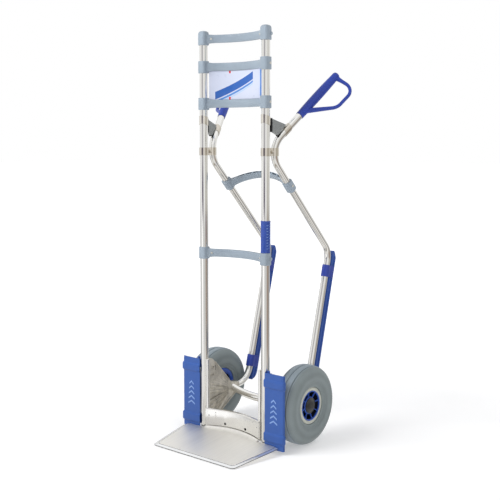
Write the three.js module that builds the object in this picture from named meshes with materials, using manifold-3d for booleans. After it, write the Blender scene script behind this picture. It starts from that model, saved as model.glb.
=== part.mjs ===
// Two-wheeled aluminium hand truck with bowed crossbars, bent rear tubes, stair skids and a toe plate.
// Millimetres, +Z up. X runs across the truck, -Y points to the load side, +Y to the user.
// The finished group has its origin on the floor, at the centre of the truck's footprint.
import * as THREE from 'three';
import { mergeVertices } from 'three/addons/utils/BufferGeometryUtils.js';
import Module from 'manifold-3d';

const wasm = await Module();
wasm.setup();

// ---------------------------------------------------------------- driving dimensions
const GAP = 0.3; // left between touching pieces

const TUBE_X = 131.5; // main tube centre to the middle of the truck
const MAIN_TUBE = { outer: 13.5, inner: 12, bottom: 21.5, top: 1343 };
const REAR_TUBE = { outer: 11.5, inner: 10 };

const CROSSBARS = { top: 1325, upper: 1233.5, middle: 1113, lower: 617 }; // heights of their middles
const CROSSBAR = { bow: 40, height: 26, thickness: 9, socketOuter: 16.3, socketHeight: 39.5 };
const CAP_TOP = 1352;
const ARCH = { z: 845, bow: 47, socketOuter: 16 };
const SCREW = { head: 4.2, headHeight: 2.4, faceX: 104 };

const NAME_PLATE = { halfWidth: 112, thickness: 2.4 };
const SLEEVE = { outer: 15.6, length: 102 };

// Corners of the right rear tube's centre line, from the grip down to the axle bracket.
const GRIP_AXIS = new THREE.Vector3(0.273, 0.673, 0.688).normalize();
const GRIP_MOUTH = new THREE.Vector3(170, 134, 1077);
const REAR_CORNERS = [
  GRIP_MOUTH.clone().addScaledVector(GRIP_AXIS, -133.7),
  new THREE.Vector3(TUBE_X, 44, 927),
  new THREE.Vector3(TUBE_X, 353, 608),
  new THREE.Vector3(TUBE_X, 226, 130),
];
const REAR_RADII = [70, 70, 60, 70];
const REAR_END = new THREE.Vector3(TUBE_X, 148, 130);
const TUBE_IN_GRIP = 70;

const GRIP = { outer: 14.5, below: 8, above: 188, loopWidth: 11, loopDepth: 14, loopTilt: 30 };

const CLAMP = { z: 956, height: 26, thickness: 1.8, turn: 2, slack: 1.9, boltY: 24, boltRadius: 3 };
const BRACE = { turn: 13, thickness: 12, padStart: 15.9, padEnd: 22, top: 1061, bottom: 1021 };
const COLLAR = { thickness: 1.4, width: 26, slope: 20 };

const SKID = { width: 22, front: REAR_TUBE.outer + GAP, back: 35, length: 492 };
const CLIP = { length: 40, wall: 2.2, upperZ: 541, lowerZ: 201 };

const WHEEL = { y: 124, z: 130, x: 192, radius: 130, halfWidth: 42.3 };
const RIM = { radius: 62, face: 224, hubRadius: 27, windows: 8, windowInner: 30, windowOuter: 46 };
const AXLE = { radius: 10, clearance: 0.09, bearingOuter: 20, bearingWidth: 12, outer: 214 };
const BRACKET = { inner: 111.5, outer: 117.5, bossRadius: 18, bossEnd: 146 };
const AXLE_TUBE = { radius: 12, sag: 15 };

const PLATE = { frontY: -208, rearY: -16.6, frontHalf: 172, rearHalf: 201, border: 15, thickness: 5.2 };
const PLATE_RISE = 5.4; // degrees
const RISER = { halfWidth: 117, endY: -13.2, bow: 22, bottom: 20, top: 89, thickness: 4 };
const GUARD = { inner: 140.6, outer: 215, bottom: 17, top: 254, front: -16, thickness: 3 };

// ---------------------------------------------------------------- materials
function material(color, roughness, metalness) {
  return new THREE.MeshStandardMaterial({ color, roughness, metalness });
}

const aluminium = material(0xc9c8c4, 0.28, 1);
const polished = material(0xd6d6d4, 0.18, 1);
const castAluminium = material(0xa39f94, 0.6, 0.8);
const steel = material(0xb2a99e, 0.3, 1);
const greyPlastic = material(0x96a5b2, 0.5, 0);
const braceGrey = material(0x8f9493, 0.55, 0);
const bluePlastic = material(0x3f62ae, 0.4, 0);
const deepBlue = material(0x2c3f93, 0.4, 0);
const whiteBoard = material(0xe9edf6, 0.4, 0);
const blackRubber = material(0x1c1d1e, 0.8, 0);
const tyreGrey = material(0x7d8485, 0.75, 0);
const rimBlue = material(0x223c94, 0.4, 0);
const capBlack = material(0x373a38, 0.5, 0);

// ---------------------------------------------------------------- geometry helpers
const v3 = (x, y, z) => new THREE.Vector3(x, y, z);

// Closed geometry to a solid for cutting and joining: shared corners merged, empty triangles dropped.
function solidOf(geometry) {
  const bare = geometry.clone();
  bare.deleteAttribute('normal');
  bare.deleteAttribute('uv');
  const merged = mergeVertices(bare, 1e-4);
  const index = merged.index.array;
  const triangles = [];
  for (let i = 0; i < index.length; i += 3) {
    const [a, b, c] = [index[i], index[i + 1], index[i + 2]];
    if (a !== b && b !== c && c !== a) triangles.push(a, b, c);
  }
  return new wasm.Manifold(new wasm.Mesh({
    numProp: 3,
    vertProperties: merged.attributes.position.array,
    triVerts: Uint32Array.from(triangles),
  }));
}

function geometryOf(solid) {
  const { vertProperties, triVerts } = solid.getMesh();
  const geometry = new THREE.BufferGeometry();
  geometry.setAttribute('position', new THREE.BufferAttribute(vertProperties, 3));
  geometry.setIndex(new THREE.BufferAttribute(triVerts, 1));
  const flat = geometry.toNonIndexed();
  flat.computeVertexNormals();
  return flat;
}

const join = (first, ...rest) => geometryOf(rest.reduce((sum, g) => sum.add(solidOf(g)), solidOf(first)));
const cut = (first, ...rest) => geometryOf(rest.reduce((sum, g) => sum.subtract(solidOf(g)), solidOf(first)));
const meet = (first, second) => geometryOf(solidOf(first).intersect(solidOf(second)));

// Mirror image across the truck's middle plane.
function mirrored(geometry) {
  const flat = geometry.index ? geometry.toNonIndexed() : geometry.clone();
  const position = flat.attributes.position;
  for (let i = 0; i < position.count; i += 3) {
    const corners = [0, 2, 1].map((k) => v3().fromBufferAttribute(position, i + k));
    corners.forEach((corner, k) => position.setXYZ(i + k, -corner.x, corner.y, corner.z));
  }
  flat.computeVertexNormals();
  return flat;
}

// A path through given stations, each a point with the direction of travel there.
class StationPath extends THREE.Curve {
  constructor(stations) {
    super();
    this.stations = stations;
  }

  stationAt(t) {
    return this.stations[Math.round(t * (this.stations.length - 1))];
  }

  getPoint(t) {
    return this.stationAt(t).point.clone();
  }

  getSpacedPoints() {
    return this.stations.map((station) => station.point.clone());
  }

  getTangentAt(t, target = new THREE.Vector3()) {
    return target.copy(this.stationAt(t).tangent);
  }
}

// Straight runs joined by round bends: a station at each end and several round each corner.
function bentStations(points, radii, bendSteps) {
  const direction = (a, b) => b.clone().sub(a).normalize();
  const stations = [{ point: points[0], tangent: direction(points[0], points[1]) }];
  for (let i = 1; i < points.length - 1; i += 1) {
    const before = direction(points[i - 1], points[i]);
    const after = direction(points[i], points[i + 1]);
    const turn = before.angleTo(after);
    const radius = radii[i - 1];
    const start = points[i].clone().addScaledVector(before, -radius * Math.tan(turn / 2));
    const inward = after.clone().addScaledVector(before, -after.dot(before)).normalize();
    for (let k = 0; k <= bendSteps; k += 1) {
      const angle = (turn * k) / bendSteps;
      const point = start.clone().addScaledVector(before, radius * Math.sin(angle));
      point.addScaledVector(inward, radius * (1 - Math.cos(angle)));
      const tangent = before.clone().multiplyScalar(Math.cos(angle)).addScaledVector(inward, Math.sin(angle));
      stations.push({ point, tangent });
    }
  }
  const last = points[points.length - 1];
  stations.push({ point: last, tangent: direction(points[points.length - 2], last) });
  return stations;
}

function sweep(shape, stations, curveSegments = 8) {
  return new THREE.ExtrudeGeometry(shape, {
    steps: stations.length - 1,
    extrudePath: new StationPath(stations),
    curveSegments,
    bevelEnabled: false,
  });
}

function ringShape(outer, inner = 0) {
  const shape = new THREE.Shape();
  shape.absarc(0, 0, outer, 0, 2 * Math.PI, false);
  if (inner > 0) {
    const hole = new THREE.Path();
    hole.absarc(0, 0, inner, 0, 2 * Math.PI, true);
    shape.holes.push(hole);
  }
  return shape;
}

function boxShape(xLow, xHigh, yLow, yHigh) {
  return polygon([[xLow, yLow], [xHigh, yLow], [xHigh, yHigh], [xLow, yHigh]]);
}

const polygon = (points) => new THREE.Shape(points.map(([x, y]) => new THREE.Vector2(x, y)));

// Upright prism over a plan outline.
function prism(shape, bottom, top, curveSegments = 10) {
  const depth = top - bottom;
  const geometry = new THREE.ExtrudeGeometry(shape, { depth, bevelEnabled: false, curveSegments });
  return geometry.translate(0, 0, bottom);
}

const rod = (radius, bottom, top, segments = 20) => prism(ringShape(radius), bottom, top, segments / 2);

// Stands an upright shape along X: its plan x becomes Y, its plan y becomes Z, its height becomes X.
function alongX(geometry) {
  return geometry.applyMatrix4(new THREE.Matrix4().makeBasis(v3(0, 1, 0), v3(0, 0, 1), v3(1, 0, 0)));
}

// Plate of a (Y, Z) outline between two X positions.
const sidePlate = (shape, xLow, xHigh, curveSegments = 8) => alongX(prism(shape, xLow, xHigh, curveSegments));

// Turned part on an axis along X: profile points are (radius, x).
function turnedX(profile, segments) {
  const geometry = new THREE.LatheGeometry(profile.map(([r, x]) => new THREE.Vector2(r, x)), segments);
  return geometry.applyMatrix4(new THREE.Matrix4().makeBasis(v3(0, 0, 1), v3(1, 0, 0), v3(0, 1, 0)));
}

const truck = new THREE.Group();

function add(name, geometry, finish) {
  const mesh = new THREE.Mesh(geometry, finish);
  mesh.name = name;
  truck.add(mesh);
}

function addPair(name, geometry, finish) {
  add(`right_${name}`, geometry, finish);
  add(`left_${name}`, mirrored(geometry), finish);
}

// ---------------------------------------------------------------- main tubes and sleeve
function buildMainTubes() {
  const tube = prism(ringShape(MAIN_TUBE.outer, MAIN_TUBE.inner), MAIN_TUBE.bottom, MAIN_TUBE.top);
  addPair('main_tube', tube.translate(TUBE_X, 0, 0), aluminium);
}

function buildSleeve() {
  const bottom = CROSSBARS.lower + CROSSBAR.socketHeight / 2 + GAP;
  const sleeve = prism(ringShape(SLEEVE.outer, MAIN_TUBE.outer + GAP), bottom, bottom + SLEEVE.length);
  add('tube_sleeve', sleeve.translate(TUBE_X, 0, 0), bluePlastic);
}

// ---------------------------------------------------------------- crossbars
// Stations along a parabola that bows towards +Y between the two sockets.
function bowStations(halfSpan, bow, steps, reach = halfSpan) {
  const stations = [];
  for (let i = 0; i <= steps; i += 1) {
    const x = reach * ((2 * i) / steps - 1);
    const point = v3(x, bow * (1 - (x / halfSpan) ** 2), 0);
    const tangent = v3(1, (-2 * bow * x) / halfSpan ** 2, 0).normalize();
    stations.push({ point, tangent });
  }
  return stations;
}

// Bowed bar with a round socket at each end, centred on z = 0.
function crossbar(bow, socketOuter, boreRadius, domeTop) {
  const { height, thickness, socketHeight } = CROSSBAR;
  const section = boxShape(-height / 2, height / 2, -thickness / 2, thickness / 2);
  const bar = sweep(section, bowStations(TUBE_X, bow, 12));
  const half = socketHeight / 2;
  const sockets = [-TUBE_X, TUBE_X].map((x) => socket(socketOuter, half, domeTop).translate(x, 0, 0));
  const boreTop = domeTop ? half - 1.2 : half + 1;
  const bores = [-TUBE_X, TUBE_X].map((x) => rod(boreRadius, -half - 1, boreTop).translate(x, 0, 0));
  return cut(join(bar, ...sockets), ...bores);
}

function socket(radius, half, domeTop) {
  if (!domeTop) return rod(radius, -half, half);
  const dome = [[radius, half - 3], [radius * 0.8, domeTop - 3], [0, domeTop]];
  const profile = [[0, -half], [radius, -half], ...dome];
  const points = profile.map(([r, z]) => new THREE.Vector2(r, z));
  return new THREE.LatheGeometry(points, 20).rotateX(Math.PI / 2);
}

function buildCrossbars() {
  for (const [name, z] of Object.entries(CROSSBARS)) {
    const domeTop = name === 'top' ? CAP_TOP - z : 0;
    const bar = crossbar(CROSSBAR.bow, CROSSBAR.socketOuter, MAIN_TUBE.outer + GAP, domeTop);
    add(`${name}_crossbar`, bar.translate(0, 0, z), greyPlastic);
    const onFace = name === 'top' || name === 'lower';
    const screw = onFace ? faceScrew() : screwHead(CROSSBAR.socketOuter).translate(TUBE_X, 0, 0);
    addPair(`${name}_crossbar_screw`, screw.translate(0, 0, z), steel);
  }
}

// Screw on the bar's front face, near its right socket.
function faceScrew() {
  const x = SCREW.faceX;
  const slope = (-2 * CROSSBAR.bow * x) / TUBE_X ** 2;
  const head = screwHead(CROSSBAR.thickness / 2).rotateZ(Math.atan2(-1, slope));
  return head.translate(x, CROSSBAR.bow * (1 - (x / TUBE_X) ** 2), 0);
}

// Dome-headed screw along +X, seated at a distance from the origin.
function screwHead(distance) {
  const { head, headHeight } = SCREW;
  const seat = distance + GAP;
  const profile = [[0, seat], [head, seat], [head * 0.75, seat + headHeight * 0.7], [0, seat + headHeight]];
  return turnedX(profile, 12);
}

function buildRearArch() {
  const bar = crossbar(ARCH.bow, ARCH.socketOuter, REAR_TUBE.outer + GAP, 0);
  const [, start, end] = REAR_CORNERS;
  const run = end.clone().sub(start);
  const lean = Math.atan2(run.y, -run.z);
  const y = start.y + (start.z - ARCH.z) * Math.tan(lean);
  add('rear_arch', bar.rotateX(lean).translate(0, y, ARCH.z), greyPlastic);
  const screw = screwHead(ARCH.socketOuter).translate(TUBE_X, 0, 0);
  addPair('rear_arch_screw', screw.rotateX(lean).translate(0, y, ARCH.z), steel);
}

function buildNamePlate() {
  const low = CROSSBARS.middle + CROSSBAR.height / 2 + GAP;
  const high = CROSSBARS.upper - CROSSBAR.height / 2 - GAP;
  const halfHeight = (high - low) / 2;
  const section = boxShape(-halfHeight, halfHeight, -NAME_PLATE.thickness / 2, NAME_PLATE.thickness / 2);
  const sheet = sweep(section, bowStations(TUBE_X, CROSSBAR.bow, 12, NAME_PLATE.halfWidth));
  add('name_plate', sheet.translate(0, 0, (low + high) / 2), whiteBoard);
}

// ---------------------------------------------------------------- rear tubes and handles
function rearTubePoints() {
  const start = GRIP_MOUTH.clone().addScaledVector(GRIP_AXIS, TUBE_IN_GRIP);
  return [start, ...REAR_CORNERS, REAR_END];
}

function buildRearTubes() {
  const stations = bentStations(rearTubePoints(), REAR_RADII, 5);
  addPair('rear_tube', sweep(ringShape(REAR_TUBE.outer, REAR_TUBE.inner), stations, 7), aluminium);
}

// Closed handle: a straight grip over the tube's end, with a hand loop on its outer side.
function buildHandles() {
  const domed = GRIP.above - 6;
  const { outer, below, above } = GRIP;
  const profile = [[0, -below], [outer, -below], [outer, domed], [outer * 0.7, above], [0, above]];
  const points = profile.map(([r, z]) => new THREE.Vector2(r, z));
  const grip = new THREE.LatheGeometry(points, 16).rotateX(Math.PI / 2);
  const corners = [v3(0, 0, 179), v3(82, 0, 179), v3(81, 0, 88), v3(8, 0, 22)];
  const section = new THREE.Shape().absellipse(0, 0, GRIP.loopDepth / 2, GRIP.loopWidth / 2, 0, 2 * Math.PI);
  const loop = sweep(section, bentStations(corners, [32, 30], 5), 5);
  const bore = rod(REAR_TUBE.outer + GAP, -GRIP.below - 1, TUBE_IN_GRIP + 1, 16);
  const handle = cut(join(grip, loop), bore);
  const outward = v3(1, 0, 0).addScaledVector(GRIP_AXIS, -GRIP_AXIS.x).normalize();
  outward.applyAxisAngle(GRIP_AXIS, THREE.MathUtils.degToRad(GRIP.loopTilt));
  const across = GRIP_AXIS.clone().cross(outward);
  const place = new THREE.Matrix4().makeBasis(outward, across, GRIP_AXIS).setPosition(GRIP_MOUTH);
  addPair('handle', handle.applyMatrix4(place), deepBlue);
}

// ---------------------------------------------------------------- clamps and braces
// Outline round two circles on the Y axis, at y = 0 and y = distance.
function beltShape(radiusFront, radiusRear, distance) {
  const tilt = Math.acos((radiusFront - radiusRear) / distance);
  const shape = new THREE.Shape();
  const rearStart = Math.PI / 2 - tilt;
  shape.absarc(0, distance, radiusRear, rearStart, Math.PI - rearStart, false);
  shape.absarc(0, 0, radiusFront, Math.PI - rearStart, 2 * Math.PI + rearStart, false);
  return shape;
}

function buildClamps() {
  const { z, height, thickness, turn, slack, boltY, boltRadius } = CLAMP;
  const distance = REAR_CORNERS[1].y + 0.8;
  const [front, rear] = [MAIN_TUBE.outer + GAP, REAR_TUBE.outer + slack];
  const outside = beltShape(front + thickness, rear + thickness, distance);
  const belt = prism(outside, z - height / 2, z + height / 2, 7);
  const inside = prism(beltShape(front, rear, distance), z - height, z + height, 7);
  const boltHole = sidePlate(ringShape(boltRadius + GAP), -30, 30, 6).translate(0, boltY, z);
  const place = (geometry) => geometry.rotateZ(THREE.MathUtils.degToRad(-turn)).translate(TUBE_X, 0, 0);
  addPair('tube_clamp', place(cut(belt, inside, boltHole)), steel);
  const headSeat = front + thickness;
  const bolt = [[0, -headSeat - 4], [5.2, -headSeat - 4], [5.2, -headSeat], [boltRadius, -headSeat + 0.1]];
  bolt.push([boltRadius, headSeat - 0.1], [5.2, headSeat], [5.2, headSeat + 4], [0, headSeat + 4]);
  addPair('clamp_bolt', place(turnedX(bolt, 12).translate(0, boltY, z)), steel);
}

// Band round a tube, cut off by two slanting planes: centred on z = 0, sloping down towards +Y.
function collar(inner) {
  const { thickness, width, slope } = COLLAR;
  const band = prism(ringShape(inner + thickness, inner), -40, 40, 10);
  const slab = new THREE.BoxGeometry(60, 90, width).rotateX(THREE.MathUtils.degToRad(-slope));
  return meet(band, slab);
}

function buildBraces() {
  const turn = THREE.MathUtils.degToRad(-BRACE.turn);
  const { thickness, padStart, padEnd, top, bottom } = BRACE;
  const place = (geometry) => geometry.rotateZ(turn).translate(TUBE_X, 0, 0);
  const half = thickness / 2;
  const wedge = polygon([[padEnd + GAP, bottom], [47, 1008.6], [79.2, 1042.6], [padEnd + GAP, top]]);
  addPair('brace_plate', place(sidePlate(wedge, -half, half)), braceGrey);
  const pad = boxShape(padStart, padEnd, bottom - 2, top + 2);
  addPair('brace_pad', place(sidePlate(pad, -half - 1, half + 1)), blackRubber);
  const front = collar(MAIN_TUBE.outer + GAP).rotateZ(turn).translate(TUBE_X, 0, 1056);
  addPair('brace_front_band', front, steel);
  const seat = GRIP_MOUTH.clone().addScaledVector(GRIP_AXIS, -74);
  const upright = new THREE.Quaternion().setFromUnitVectors(v3(0, 0, 1), GRIP_AXIS);
  const rear = collar(REAR_TUBE.outer + GAP).applyQuaternion(upright).translate(seat.x, seat.y, seat.z);
  addPair('brace_rear_band', rear, steel);
}

// ---------------------------------------------------------------- stair skids
// Frame of the straight lower leg: origin at the elbow corner, 'down' along the leg, 'back' to the rear.
const legTop = REAR_CORNERS[2];
const legDown = REAR_CORNERS[3].clone().sub(legTop).normalize();
const legBack = v3(0, -legDown.z, legDown.y);

// Turns outline points (back, down) in the leg's frame into a (Y, Z) outline.
function legOutline(points) {
  return polygon(points.map(([back, down]) => {
    const point = legTop.clone().addScaledVector(legBack, back).addScaledVector(legDown, down);
    return [point.y, point.z];
  }));
}

const legStation = (z) => (legTop.z - z) / -legDown.z;

function buildSkids() {
  const { width, front, back, length } = SKID;
  const points = [[front, 14], [front + 6, -2], [back - 8, 4], [back + 1, 16], [back, 40]];
  points.push([back, length - 18], [back - 6, length - 5], [back - 14, length], [front, length - 12]);
  const skid = sidePlate(legOutline(points), TUBE_X - width / 2, TUBE_X + width / 2);
  addPair('skid', skid, bluePlastic);
  buildSkidClips('upper', CLIP.upperZ);
  buildSkidClips('lower', CLIP.lowerZ);
}

// Wrap that holds the skid to the tube.
function buildSkidClips(level, z) {
  const middle = legStation(z);
  const inner = { front: REAR_TUBE.outer + GAP, back: SKID.back - 5, half: REAR_TUBE.outer + GAP };
  const wall = CLIP.wall;
  const outline = (grow, half) => {
    const shape = new THREE.Shape();
    const radius = inner.half + grow;
    shape.absarc(0, 0, radius, Math.PI, 2 * Math.PI, false);
    shape.lineTo(radius, half);
    shape.lineTo(-radius, half);
    return shape;
  };
  const body = prism(outline(wall, SKID.back - 3), -CLIP.length / 2, CLIP.length / 2, 7);
  const tubeBore = rod(inner.front, -CLIP.length, CLIP.length, 16);
  const skidSlot = prism(boxShape(-SKID.width / 2 - GAP, SKID.width / 2 + GAP, 0, SKID.back + 5), -40, 40);
  const clip = cut(body, tubeBore, skidSlot);
  const at = legTop.clone().addScaledVector(legDown, middle);
  const place = new THREE.Matrix4().makeBasis(v3(-1, 0, 0), legBack, legDown).setPosition(at);
  addPair(`${level}_skid_clip`, clip.applyMatrix4(place), deepBlue);
}

// ---------------------------------------------------------------- axle brackets and axle tube
function bracketOutline() {
  const shape = new THREE.Shape();
  shape.moveTo(-6.6, 24);
  shape.lineTo(22, 24);
  shape.lineTo(72, 72);
  shape.lineTo(104, 96);
  shape.lineTo(136, 110);
  shape.lineTo(150, 118);
  shape.lineTo(150, 146);
  shape.lineTo(118, 153);
  shape.lineTo(104, 163);
  shape.lineTo(32, 239);
  shape.quadraticCurveTo(20, 254, 8, 256);
  shape.lineTo(-6.6, 257);
  for (const [y, z] of [[20, 223], [18.5, 198]]) {
    const hole = new THREE.Path();
    hole.absarc(y, z, 3.6, 0, 2 * Math.PI, true);
    shape.holes.push(hole);
  }
  const slot = [[31, 209], [31, 229], [34.5, 229], [34.5, 209]];
  shape.holes.push(new THREE.Path(slot.map(([y, z]) => new THREE.Vector2(y, z))));
  return shape;
}

function buildBrackets() {
  const plate = sidePlate(bracketOutline(), BRACKET.inner, BRACKET.outer, 4);
  const boss = sidePlate(ringShape(BRACKET.bossRadius), BRACKET.inner, BRACKET.bossEnd, 10);
  boss.translate(0, WHEEL.y, WHEEL.z);
  const block = boxShape(WHEEL.y, REAR_END.y + 14, WHEEL.z - 15, WHEEL.z + 15);
  const arm = sidePlate(block, BRACKET.inner, TUBE_X + 15);
  const tubeBore = rod(REAR_TUBE.outer + GAP, 0, 40, 16).rotateX(-Math.PI / 2);
  tubeBore.translate(TUBE_X, REAR_END.y - GAP, REAR_END.z);
  const axleBore = sidePlate(ringShape(AXLE.radius + GAP), BRACKET.inner - 1, BRACKET.bossEnd + 1, 10);
  axleBore.translate(0, WHEEL.y, WHEEL.z);
  addPair('axle_bracket', cut(join(plate, boss, arm), tubeBore, axleBore), castAluminium);
}

// Tube between the two brackets that hangs a little in its middle.
function buildAxleTube() {
  const half = BRACKET.inner - GAP;
  const stations = bowStations(half, AXLE_TUBE.sag, 10, half + 5);
  const tube = sweep(ringShape(AXLE_TUBE.radius, AXLE_TUBE.radius - 2.5), stations, 8);
  const trimmed = meet(tube, new THREE.BoxGeometry(2 * half, 100, 50));
  add('axle_tube', trimmed.rotateX(-Math.PI / 2).translate(0, WHEEL.y, WHEEL.z), polished);
}

// ---------------------------------------------------------------- toe plate and riser
// Plan outline of the toe plate: round front corners, wider at the rear, with a tongue under the riser.
function plateOutline(inset) {
  const { frontY, rearY, frontHalf, rearHalf } = PLATE;
  const corner = 16;
  const flare = (rearHalf - frontHalf) / (rearY - frontY);
  const sideAt = (y) => frontHalf + (y - frontY) * flare - inset;
  const front = frontY + inset;
  const right = [];
  for (let i = 0; i <= 4; i += 1) {
    const angle = (Math.PI / 2) * (i / 4);
    const x = sideAt(front + corner) - corner * (1 - Math.sin(angle));
    right.push([x, front + corner * (1 - Math.cos(angle))]);
  }
  for (let i = 0; i <= 3; i += 1) {
    const angle = (Math.PI / 2) * (i / 3);
    right.push([sideAt(rearY) - 10 * (1 - Math.cos(angle)), rearY - 10 * (1 - Math.sin(angle))]);
  }
  const tongue = RISER.halfWidth - 4;
  right.push([tongue, rearY]);
  for (let i = 0; i <= 5; i += 1) {
    const x = tongue * (1 - i / 5);
    right.push([x, riserY(x) + RISER.thickness / 2 + 2]);
  }
  const left = right.slice(0, -1).reverse().map(([x, y]) => [-x, y]);
  return [...right, ...left];
}

const riserY = (x) => RISER.endY + RISER.bow * (1 - (x / RISER.halfWidth) ** 2);

// Solid whose faces run between outlines of equal count, each at its own height.
function stacked(layers) {
  const count = layers[0].points.length;
  const positions = [];
  layers.forEach(({ points, z }) => points.forEach(([x, y]) => positions.push(x, y, z)));
  const index = [];
  for (let layer = 0; layer + 1 < layers.length; layer += 1) {
    for (let i = 0; i < count; i += 1) {
      const [a, b] = [layer * count + i, layer * count + ((i + 1) % count)];
      index.push(a, b, b + count, a, b + count, a + count);
    }
  }
  const capOf = ({ points }) => {
    const flat = points.map(([x, y]) => new THREE.Vector2(x, y));
    return THREE.ShapeUtils.triangulateShape(flat, []);
  };
  const last = (layers.length - 1) * count;
  capOf(layers[0]).forEach(([a, b, c]) => index.push(a, c, b));
  capOf(layers[layers.length - 1]).forEach(([a, b, c]) => index.push(last + a, last + b, last + c));
  const geometry = new THREE.BufferGeometry();
  geometry.setAttribute('position', new THREE.Float32BufferAttribute(positions, 3));
  geometry.setIndex(index);
  return geometryOf(solidOf(geometry));
}

function buildToePlate() {
  const layers = [
    { points: plateOutline(0), z: 0 },
    { points: plateOutline(0), z: 3 },
    { points: plateOutline(PLATE.border), z: PLATE.thickness },
  ];
  add('toe_plate', tilted(stacked(layers)), polished);
}

// Raises the rear of a level part by the toe plate's slope, about the plate's front edge.
function tilted(geometry) {
  const level = geometry.translate(0, -PLATE.frontY, 0);
  return level.rotateX(THREE.MathUtils.degToRad(PLATE_RISE)).translate(0, PLATE.frontY, 0);
}

// Bowed plate that stands on the toe plate's rear, with two bolt holes.
function buildRiser() {
  const { halfWidth, bow, endY, bottom, top, thickness } = RISER;
  const half = (top - bottom) / 2;
  const section = boxShape(-half, half, -thickness / 2, thickness / 2);
  const sheet = sweep(section, bowStations(halfWidth, bow, 12)).translate(0, endY, (top + bottom) / 2);
  const holes = [-44, 44].map((x) => rod(4, -60, 60, 12).rotateX(Math.PI / 2).translate(x, 0, 44));
  const foot = tilted(prism(boxShape(-200, 200, -100, 100), -60, PLATE.thickness + GAP));
  add('riser_plate', cut(sheet, foot, ...holes), polished);
}

// ---------------------------------------------------------------- wheel guards
function buildGuards() {
  const { inner, outer, bottom, top, front, thickness } = GUARD;
  const back = front + thickness;
  const lip = [[outer + 5, back + 4.5], [outer + 2.5, back + 6], [outer - 3, back]];
  const plan = polygon([[inner, front], [outer, front], ...lip, [inner, back]]);
  const bandPlan = boxShape(inner, outer - 1, front - 4, front + 1);
  const bands = [[36, 57], [211, 230]].map(([low, high]) => prism(bandPlan, low, high));
  const lugPlan = boxShape(145.6, 157, back - 1, 5);
  const lugs = [[28, 60], [222, 258]].map(([low, high]) => prism(lugPlan, low, high));
  addPair('wheel_guard', join(prism(plan, bottom, top), ...bands, ...lugs), bluePlastic);
}

// ---------------------------------------------------------------- wheels
// Closed tyre section, as (radius, distance from the wheel's middle), one side then its mirror image.
function tyreProfile() {
  const side = [[RIM.radius + GAP, 30], [70, 36], [84, 41], [98, WHEEL.halfWidth], [112, 39.5]];
  const tread = [[121, 33], [126.5, 24], [128.4, 16.5], [126, 15], [126, 13], [129, 11.5]];
  const half = [...side, ...tread];
  const points = [...half.map(([r, x]) => [r, -x]), [WHEEL.radius, 0], ...half.reverse()];
  return [...points, points[0]].map(([r, x]) => [r, x + WHEEL.x]);
}

// One-piece rim: barrel, two outer rings, spokes between the windows and a bored hub.
function rimGeometry() {
  const { radius, face, hubRadius, windows, windowInner, windowOuter } = RIM;
  const back = 2 * WHEEL.x - face;
  const bearingSeat = AXLE.bearingOuter + 0.2;
  const hubFace = face - 5;
  const profile = [
    [bearingSeat, back + 3], [hubRadius, back + 3], [hubRadius, WHEEL.x - 5], [54, WHEEL.x - 5], [54, back],
    [radius, back], [radius, face], [52, face], [50, face - 6], [hubRadius, face - 8], [hubRadius, hubFace],
    [bearingSeat, hubFace], [bearingSeat, back + 3],
  ];
  const body = turnedX(profile, 40);
  const halfAngle = Math.PI / windows - 0.1;
  const cutters = [];
  for (let i = 0; i < windows; i += 1) {
    const middle = ((i + 0.5) * 2 * Math.PI) / windows;
    const shape = new THREE.Shape();
    shape.absarc(0, 0, windowOuter, middle - halfAngle, middle + halfAngle, false);
    shape.absarc(0, 0, windowInner, middle + halfAngle * 0.85, middle - halfAngle * 0.85, true);
    cutters.push(sidePlate(shape, WHEEL.x - 10, face + 2, 2));
  }
  return cut(body, ...cutters);
}

function buildWheels() {
  const place = (geometry) => geometry.translate(0, WHEEL.y, WHEEL.z);
  const { radius, clearance, bearingOuter, bearingWidth, outer } = AXLE;
  addPair('tyre', place(turnedX(tyreProfile(), 40)), tyreGrey);
  addPair('rim', place(rimGeometry()), rimBlue);
  const ring = ringShape(bearingOuter, radius + clearance);
  const back = 2 * WHEEL.x - RIM.face + 3.2;
  addPair('inner_bearing', place(sidePlate(ring, back, back + bearingWidth, 14)), steel);
  addPair('outer_bearing', place(sidePlate(ring, outer - bearingWidth, outer, 14)), steel);
  const headSeat = outer + 0.5;
  const bolt = [[0, BRACKET.inner], [radius, BRACKET.inner], [radius, headSeat], [16, headSeat]];
  bolt.push([16, headSeat + 3], [0, headSeat + 3]);
  addPair('wheel_axle', place(turnedX(bolt, 24)), steel);
  const capSeat = RIM.face - 4.7;
  const capRadius = RIM.hubRadius - 1;
  const cap = [[16, capSeat], [capRadius, capSeat], [capRadius, capSeat + 2.5], [19, capSeat + 5.5]];
  cap.push([0, capSeat + 6], [0, capSeat + 3], [16, capSeat + 2.5], [16, capSeat]);
  addPair('hub_cap', place(turnedX(cap, 24)), capBlack);
}

// ---------------------------------------------------------------- assembly
buildMainTubes();
buildSleeve();
buildCrossbars();
buildRearArch();
buildNamePlate();
buildRearTubes();
buildHandles();
buildClamps();
buildBraces();
buildSkids();
buildBrackets();
buildAxleTube();
buildToePlate();
buildRiser();
buildGuards();
buildWheels();

// The origin is on the floor at the middle of the footprint.
const extent = new THREE.Box3().setFromObject(truck);
truck.position.y = -(extent.min.y + extent.max.y) / 2;

const handTruck = new THREE.Group();
handTruck.add(truck);

export default handTruck;
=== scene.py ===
"""Looks of the hand truck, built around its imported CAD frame."""
import math

import bmesh
import bpy
from mathutils import Matrix, Vector


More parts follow.
